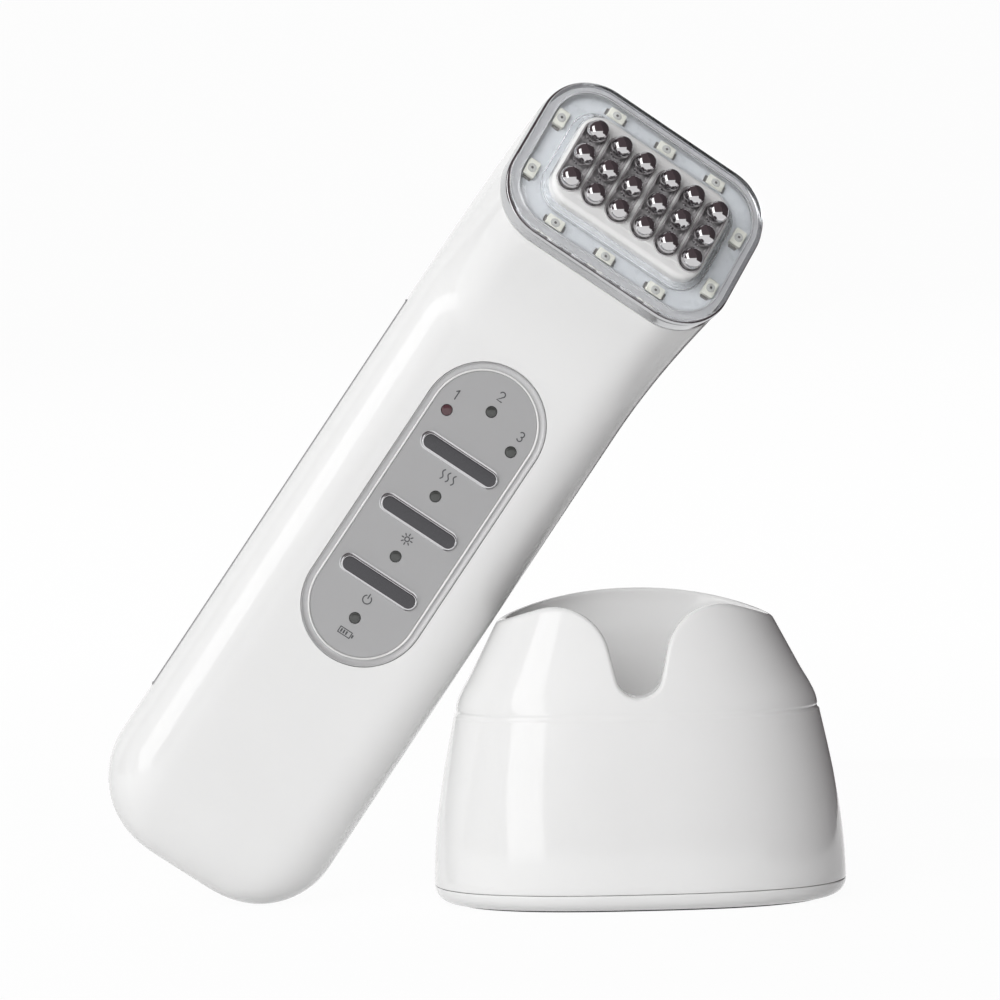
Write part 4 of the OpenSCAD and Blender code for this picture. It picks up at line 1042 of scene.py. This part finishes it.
def skin_half(z):
    """Half width and half depth of the cradle's skin at height z. Above the groove the width is
    the mean over five heights, which eases the kink."""
    if z <= ledge_z:
        swell = math.cos(QUARTER * (z - seam_z) / (ledge_z - seam_z))
        return ledge_a + (foot_a - ledge_a) * swell, ledge_b + (foot_b - ledge_b) * swell
    if z <= shoulder_z:
        s = max(0, min(1, (z - ledge_bevel[0]) / (ledge_bevel[1] - ledge_bevel[0])))
        return ledge_a - ledge_step_a * s, ledge_b - ledge_step_b * s
    spread = kink_ease if z > shoulder_z + 2 * kink_ease else 0
    top_a = ledge_a - ledge_step_a
    top_b = ledge_b - ledge_step_b
    a = 0
    for k in range(5):
        at = z + spread * (k - 2) / 2
        s = (at - shoulder_z) / (kink_z - shoulder_z)
        if s < 1:
            a += (top_a - (top_a - kink_a) * s**1.5) / 5
        else:
            a += (kink_a - (kink_a - rim_a) / (rim_z - kink_z) * (at - kink_z)) / 5
    s = min(1, (z - shoulder_z) / (rim_top_z - shoulder_z))
    return a, top_b - (top_b - rim_b) * s**1.25


def pocket_half(z):
    """Half sizes of the pocket, which narrows to its floor as the handset's lower end does."""
    low = 1 - min(1, (z - floor_z) / (pocket_z - floor_z))
    return (pocket_a - pocket_round_a * low**6,
            mix(pocket_b, pocket_low_b, low) - pocket_round_b * low**6)


def on_oval(half, u, z, grow=0.0):
    """Point at the angle u of an oval with these half sizes."""
    return Vector(((half[0] + grow) * soft(math.cos(u), foot_soft),
                   (half[1] + grow) * soft(math.sin(u), foot_soft), z))


def turn_at(half, x):
    """The angle in front of the cup at which an oval has this x."""
    part = max(-1, min(1, x / half[0]))
    return -math.acos(math.copysign(abs(part) ** (foot_soft / 2), part))


def even_turns(start, end, count):
    """Angles from start to end that lie evenly along the foot's outline."""
    fine = evenly(start, end, 2000)
    spots = [on_oval((foot_a, foot_b), u, 0) for u in fine]
    lengths = [0]
    for p, q in zip(spots, spots[1:]):
        lengths.append(lengths[-1] + (q - p).length)
    angles = []
    k = 0
    for step_no in range(count + 1):
        goal = lengths[-1] * step_no / count
        while k < 1999 and lengths[k + 1] < goal:
            k += 1
        angles.append(mix(fine[k], fine[k + 1], (goal - lengths[k]) / (lengths[k + 1] - lengths[k])))
    return angles


def notch_line(steps):
    """Crown of the rim from the notch's lowest point to the right lip's end, as (x, z) points
    evenly along it, each with the way out of the material."""
    bowl = notch_r * (QUARTER - notch_slope)
    side = (notch_lip_z - notch_c + notch_r * math.sin(notch_slope)) / math.cos(notch_slope)
    lip_start = math.pi - notch_slope
    lip = lip_r * (lip_start - math.atan2(lip_z - arch_c, lip_x))
    line = []
    for k in range(steps + 1):
        t = (bowl + side + lip) * k / steps
        if t < bowl:
            u = t / notch_r - QUARTER
            way = Vector((-math.cos(u), -math.sin(u)))
            line.append((Vector((0, notch_c)) - notch_r * way, way))
        elif t < bowl + side:
            way = Vector((-math.cos(notch_slope), math.sin(notch_slope)))
            up = Vector((math.sin(notch_slope), math.cos(notch_slope)))
            line.append((Vector((notch_x1, notch_lip_z)) + (t - bowl - side) * up, way))
        else:
            u = lip_start - (t - bowl - side) / lip_r
            way = Vector((math.cos(u), math.sin(u)))
            line.append((Vector((lip_x, lip_z)) + lip_r * way, way))
    return line


notch_steps = 84
side_steps = 112
lip_steps = 16
crown = notch_line(notch_steps)
lip_turn = turn_at(skin_half(crown[-1][0].y), lip_end)
low_turns = (even_turns(-QUARTER, lip_turn, notch_steps)
             + even_turns(lip_turn, QUARTER, side_steps)[1:])
upright = Vector((0, 1))
for u in low_turns[notch_steps + 1:]:
    z = rim_z
    for _ in range(12):
        x = skin_half(z)[0] * soft(math.cos(u), foot_soft)
        z = arch_c + math.sqrt(arch_r**2 - x**2)
    crown.append((Vector((x, z)), upright))
holds_x = ([1.0] * (notch_steps + 1)
           + [max(0, 1 - k / lip_steps) ** 2 for k in range(1, side_steps + 1)])
rim_r = cradle_wall / 2


def rim_point(j, theta, outside):
    """Point of the rim's half-round edge in column j; at 90 degrees it reaches the crown."""
    spot, way = crown[j]
    if j > notch_steps:
        way = upright.lerp(Vector((spot.x, spot.y - arch_c)).normalized(), holds_x[j]).normalized()
    spot = spot - way * rim_r * (1 - math.sin(theta))
    faces_of = []
    for half in (skin_half(spot.y), pocket_half(spot.y)):
        u = low_turns[j]
        if holds_x[j]:
            u = mix(u, turn_at(half, spot.x), holds_x[j])
        faces_of.append((on_oval(half, u, spot.y), u))
    (skin, u_skin), (inner, u_inner) = faces_of
    here, there, u = (skin, inner, u_skin) if outside else (inner, skin, u_inner)
    gap = (there - here).length
    return here.lerp(there, min(0.5, rim_r * (1 - math.cos(theta)) / gap)), u


def cup_ring(point):
    """Ring round the cup from point(column), which gives the right half; the left mirrors it."""
    right = [point(j) for j in range(len(low_turns))]
    right[0].x = right[-1].x = 0
    return right + [Vector((-p.x, p.y, p.z)) for p in right[-2:0:-1]]


def plain_ring(half, z, grow=0.0):
    """Level ring of the cup on an oval with these half sizes."""
    return cup_ring(lambda j: on_oval(half, low_turns[j], z, grow))


def between(j, s, outside):
    """Point of the fan between the plain rings and the rim, at the share s of the way up."""
    base = shoulder_z if outside else ledge_z
    top, u_top = rim_point(j, 0, outside)
    z = mix(base, top.z, s)
    half = skin_half(z) if outside else pocket_half(z)
    return on_oval(half, mix(low_turns[j], u_top, s), z)


rim_turns = turns(QUARTER, 8)
cup = [plain_ring(pocket_half(floor_z), floor_z - cradle_wall, cradle_wall)]
cup += [plain_ring(pocket_half(z), z, cradle_wall)
        for z in [mix(floor_z + cradle_wall, hollow_z, (k / 10) ** 1.5) for k in range(11)]]
cup += [plain_ring(skin_half(z), z, -cradle_wall)
        for z in evenly(hollow_z, shell_z, 10)]
cup += [plain_ring(skin_half(shell_z), shell_z, -shell_edge_r),
        plain_ring(skin_half(shell_z), shell_z + 0.35 * shell_edge_r, -0.3 * shell_edge_r)]
cup += [plain_ring(skin_half(z), z) for z in evenly(shell_z + shell_edge_r, ledge_z - 0.3, 22)]
cup += [cup_ring(lambda j: on_oval(skin_half(z), low_turns[j], z,
                                   -dip * abs(math.cos(low_turns[j]))**0.7))
        for z, dip in ((ledge_z, 0), *groove_dips, (shoulder_z, 0))]
cup += [cup_ring(lambda j: between(j, s, True)) for s in [k / 34 for k in range(1, 34)]]
cup += [cup_ring(lambda j: rim_point(j, u, True)[0]) for u in rim_turns]
cup += [cup_ring(lambda j: rim_point(j, QUARTER, True)[0].lerp(rim_point(j, QUARTER, False)[0], s))
        for s in (0.25, 0.5, 0.75)]
cup += [cup_ring(lambda j: rim_point(j, u, False)[0]) for u in rim_turns[::-1]]
cup += [cup_ring(lambda j: between(j, s, False)) for s in [1 - k / 14 for k in range(1, 14)]]
cup += [plain_ring(pocket_half(z), z) for z in evenly(ledge_z, floor_z + 0.5, 16)]
cup += [plain_ring(pocket_half(floor_z), floor_z, -0.5)]
shell = loft("cradle_cup", cup, IN_PLACE, crease=40)

base_screw_spots = [(x, y) for x in (-34, 34) for y in (-12, 12)]
cup_boss_d = 6.4
base_screw_d = 2.6
screw_bore_l = 12
pin_hole_d = 3
inlet_z = 13.4
inlet_nose_d = 8
facing_back = Matrix.Rotation(-QUARTER, 4, "X")
carve(shell, [pegs(cup_boss_d, base_screw_spots, shell_z, hollow_z + 1, IN_PLACE)], "UNION", 40)
carve(shell, [together([
    pegs(base_screw_d, base_screw_spots, shell_z - 1, shell_z + screw_bore_l, IN_PLACE, 24),
    pegs(pin_hole_d, [(-contact_x, 0), (contact_x, 0)], floor_z - cradle_wall - 1, floor_z + 1,
         IN_PLACE),
    pegs(inlet_nose_d + 2 * fit, [(0, -inlet_z)], foot_b / 2, foot_b + 2, facing_back)])], crease=40)
fit_out(shell, "cradle", "white_gloss", white_plastic, "cradle_shell")

# ---- the cradle's base ----
# A shallow tray in the same white plastic closes the cup from below. Its outer edge is fully
# rounded, and four screws from underneath hold it against the bosses of the cup.
pad_t = 1.4
pad_in = 5
base_lift = 0.5
base_floor = pad_t + 1.2
base_foot = base_floor - 0.3
screw_seat = base_floor + 0.5
board_post_d = 6
board_post_spots = [(x, y) for x in (-24, 24) for y in (-12, 12)]
board_post_z = 5.4
head_room_d = 5.6
ring_turns = even_turns(-QUARTER, 3 * QUARTER, 180)[:-1]


def level_ring(a, b, z):
    """Level ring of the base on an oval of half sizes a and b."""
    return [on_oval((a, b), u, z) for u in ring_turns]


edge = seam_z - base_lift
tray = [level_ring(foot_a - edge * (1 - math.sin(u)), foot_b - edge * (1 - math.sin(u)),
                   base_lift + edge * (1 - math.cos(u))) for u in turns(QUARTER, 14)[:-1]]
tray += [level_ring(foot_a, foot_b, seam_z - 0.15), level_ring(foot_a - 0.06, foot_b - 0.06, seam_z),
         level_ring(foot_a - cradle_wall, foot_b - cradle_wall, seam_z),
         level_ring(foot_a - cradle_wall, foot_b - cradle_wall, base_floor)]
base = loft("cradle_tray", tray, IN_PLACE, crease=40)
carve(base, [together([pegs(board_post_d, board_post_spots, base_foot, board_post_z, IN_PLACE),
                       pegs(cup_boss_d, base_screw_spots, base_foot, seam_z, IN_PLACE)])],
      "UNION", 40)
pad_hole = loft("pad_hole", [level_ring(foot_a - pad_in + fit, foot_b - pad_in + fit, z)
                             for z in (0, pad_t)], IN_PLACE)
carve(base, [pad_hole], crease=40)
carve(base, [pegs(base_screw_d + 0.4, base_screw_spots, -1, seam_z + 1, IN_PLACE),
             pegs(head_room_d, base_screw_spots, -1, screw_seat, IN_PLACE)], crease=40)
fit_out(base, "cradle", "white_gloss", white_plastic, "cradle_base")

# ---- the rubber pad ----
# A dark grey rubber sheet glued into the base's recess, 1.4 mm thick. Its edge is rounded, and
# a moulded groove runs round its underside.
pad_a = foot_a - pad_in
pad_b = foot_b - pad_in
pad_rings = [level_ring(pad_a - i, pad_b - i, z) for i, z in
             [(0.3, pad_t), (0.1, pad_t - 0.1), (0, pad_t - 0.3), (0, 0.3), (0.1, 0.1), (0.3, 0),
              (2.6, 0), (2.75, 0.1), (2.85, 0.4), (3.55, 0.4), (3.65, 0.1), (3.8, 0)]]
pad = loft("grip_pad", pad_rings, IN_PLACE)
pad_rubber = finish("dark_grey_rubber", (0.055, 0.055, 0.058), drift=0.2, rough=(0.65, 0.8),
                    grain=1.2, bump=0.02, bump_grain=0.3)
fit_out(pad, "cradle", "pad_rubber", pad_rubber, "base_pad")
cross_screws("base_screw_set", "base_screws", "cradle", [(x, -y) for x, y in base_screw_spots],
             Matrix.Translation((0, 0, screw_seat)) @ flip_down,
             head_d=5.2, head_h=1.6, shank_d=2.5, shank_l=9)

# ---- the power inlet ----
# A black moulded socket on the charge board. Its round nose shows low on the cradle's back,
# and a nickel pin stands in the middle of its bore.
inlet_r = 2.8
inlet_depth = 9
inlet_face = skin_half(inlet_z)[1] - 0.3
nose_l = cradle_wall + 0.6
nose_r = inlet_nose_d / 2
nose_edge = 0.3
socket_w = 9
socket_h = 11.2
socket_l = 10.6
charge_board_z = 7
inlet_place = Matrix.Translation((0, inlet_face, inlet_z)) @ facing_back
block = rounded(socket_w, socket_h, 0.5, 3, (0, inlet_z - charge_board_z - socket_h / 2))
socket = prism(block, -nose_l - socket_l, -nose_l, inlet_place)
nose = turned("nose", [(0, -nose_l - 1), (nose_r, -nose_l - 1), (nose_r, -nose_edge),
                       (nose_r - 0.09, -0.09), (nose_r - nose_edge, 0), (0, 0)],
              inlet_place, steps=64)
bore = turned("bore", [(0, -inlet_depth), (inlet_r, -inlet_depth), (inlet_r, -nose_edge),
                       (inlet_r + nose_edge, 0.02), (inlet_r + nose_edge, 1), (0, 1)],
              inlet_place, steps=64)
carve(socket, [nose], "UNION")
carve(socket, [bore])
fit_out(socket, "cradle", "inner_black", inner_black, "dc_inlet").name = "power_socket"
nickel = finish("nickel_plate", (0.58, 0.55, 0.49), drift=0.05, rough=(0.15, 0.25), grain=0.7,
                Metallic=1.0)
pin_r = 0.95
pin_foot = -inlet_depth - 0.1
centre_pin = turned("power_socket_pin", [(0, pin_foot), (pin_r, pin_foot), (pin_r, -1.6), (0.8, -1.1),
                                         (0.45, -0.85), (0, -0.8)], inlet_place, steps=32)
fit_out(centre_pin, "cradle", "screw_steel", nickel)

# ---- the picture ----
# A white paper sweep in a dim room, here in metres. A tall bank of light leans at the left and
# draws the long streaks on the white plastic. Broad lamps fill in from the front, above and
# behind, seen in no reflection, and a dark cloth at the right keeps the chrome and edges dark.
sweep_front = -2.5
sweep_back = 1.6
sweep_top = 3.0
sweep_r = 0.5
sweep_x = 4
curve = ([(sweep_front, 0)]
         + [(sweep_back - sweep_r + sweep_r * math.sin(u), sweep_r - sweep_r * math.cos(u))
            for u in turns(QUARTER, 16)] + [(sweep_back, sweep_top)])
sweep_mesh = bpy.data.meshes.new("studio_sweep")
sweep_mesh.from_pydata([(x, y, z) for y, z in curve for x in (-sweep_x, sweep_x)], [],
                       [(2 * k, 2 * k + 1, 2 * k + 3, 2 * k + 2) for k in range(len(curve) - 1)])
sweep = bpy.data.objects.new("studio_sweep", sweep_mesh)
bpy.context.scene.collection.objects.link(sweep)
smooth(sweep)
paper = bpy.data.materials.new("white_paper")
paper.use_nodes = True
nodes, links = paper.node_tree.nodes, paper.node_tree.links
rays = nodes.new("ShaderNodeLightPath")
seen = rays.outputs["Is Camera Ray"]
for ray_kind in ("Is Glossy Ray", "Is Transmission Ray"):
    either = nodes.new("ShaderNodeMath")
    either.operation = "MAXIMUM"
    links.new(seen, either.inputs[0])
    links.new(rays.outputs[ray_kind], either.inputs[1])
    seen = either.outputs[0]
matt = nodes["Principled BSDF"]
matt.inputs["Base Color"].default_value = (0.8, 0.8, 0.8, 1)
matt.inputs["Roughness"].default_value = 0.9
glow = nodes.new("ShaderNodeEmission")
glow.inputs["Color"].default_value = (1, 1, 1, 1)
glow.inputs["Strength"].default_value = 1.0
blend = nodes.new("ShaderNodeMixShader")
share = nodes.new("ShaderNodeMath")
share.operation = "MULTIPLY"
share.inputs[1].default_value = 0.96
links.new(seen, share.inputs[0])
links.new(share.outputs[0], blend.inputs[0])
links.new(matt.outputs[0], blend.inputs[1])
links.new(glow.outputs[0], blend.inputs[2])
links.new(blend.outputs[0], nodes["Material Output"].inputs["Surface"])
sweep_mesh.materials.append(paper)

camera_at = (-0.0313, -1.0, 0.1195)
camera_dip = math.radians(1.38)
camera_roll = math.radians(-1.35)
camera = bpy.data.objects.new("camera", bpy.data.cameras.new("camera"))
bpy.context.scene.collection.objects.link(camera)
camera.data.lens = 150.9
camera.data.sensor_width = 36
camera.matrix_world = (Matrix.Translation(camera_at) @ Matrix.Rotation(QUARTER - camera_dip, 4, "X")
                       @ Matrix.Rotation(camera_roll, 4, "Z"))
bpy.context.scene.camera = camera


def softbox(name, at, width, height, power, roll=0.0):
    """A flat panel of soft light aimed at the middle of the part, its power in watts, rolled
    about its own axis by roll degrees."""
    lamp = bpy.data.objects.new(name, bpy.data.lights.new(name, "AREA"))
    lamp.data.shape = "RECTANGLE"
    lamp.data.size = width
    lamp.data.size_y = height
    lamp.data.energy = power
    lamp.location = at
    facing = (Vector(middle) - Vector(at)).to_track_quat("-Z", "Y").to_matrix()
    lamp.rotation_euler = (facing @ Matrix.Rotation(math.radians(roll), 3, "Z")).to_euler()
    bpy.context.scene.collection.objects.link(lamp)
    return lamp


middle = (-0.02, 0, 0.1)
softbox("left_bank", (-0.865, -0.788, 0.5), width=0.5, height=1.5, power=5.1, roll=25)
for lamp in (softbox("front_fill", (-0.55, -1.75, 0.9), width=1.3, height=1.1, power=25.5),
             softbox("top_light", (-0.3, 0.1, 1.5), width=1.2, height=1.0, power=5),
             softbox("back_fill", (-0.1, 1.2, 0.7), width=1.2, height=1.0, power=8)):
    lamp.visible_glossy = False

flag_h = 1.2
flag_x = (0.06, 0.3)
flag_y = (0.35, -0.3)
flag = bpy.data.objects.new("dark_flag", bpy.data.meshes.new("dark_flag"))
flag.data.from_pydata([(flag_x[0], flag_y[0], 0), (flag_x[1], flag_y[0], 0),
                       (flag_x[1], flag_y[0], flag_h), (flag_x[0], flag_y[0], flag_h),
                       (flag_x[1], flag_y[1], 0), (flag_x[1], flag_y[1], flag_h)],
                      [], [(0, 1, 2, 3), (1, 4, 5, 2)])
bpy.context.scene.collection.objects.link(flag)
flag.data.materials.append(finish("dark_cloth", (0.06, 0.045, 0.05), rough=(0.8, 0.9), drift=0.1))
flag.visible_camera = False
flag.visible_shadow = False
flag.visible_transmission = False

room_colours = {
    "lit": (0.075, 0.075, 0.075), "Is Glossy Ray": (0.11, 0.085, 0.092),
    "Is Transmission Ray": (0.40, 0.39, 0.40), "Is Camera Ray": (0.97, 0.97, 0.97)}
world = bpy.data.worlds.new("room")
world.use_nodes = True
nodes, links = world.node_tree.nodes, world.node_tree.links
rays = nodes.new("ShaderNodeLightPath")
seen_by = None
for ray_kind, colour in room_colours.items():
    walls = nodes.new("ShaderNodeMix")
    walls.data_type = "RGBA"
    walls.inputs["Factor"].default_value = 1
    walls.inputs["B"].default_value = (*colour, 1)
    if seen_by:
        links.new(rays.outputs[ray_kind], walls.inputs["Factor"])
        links.new(seen_by, walls.inputs["A"])
    seen_by = walls.outputs["Result"]
links.new(seen_by, nodes["Background"].inputs["Color"])
bpy.context.scene.world = world
bpy.context.scene.view_settings.view_transform = "Standard"
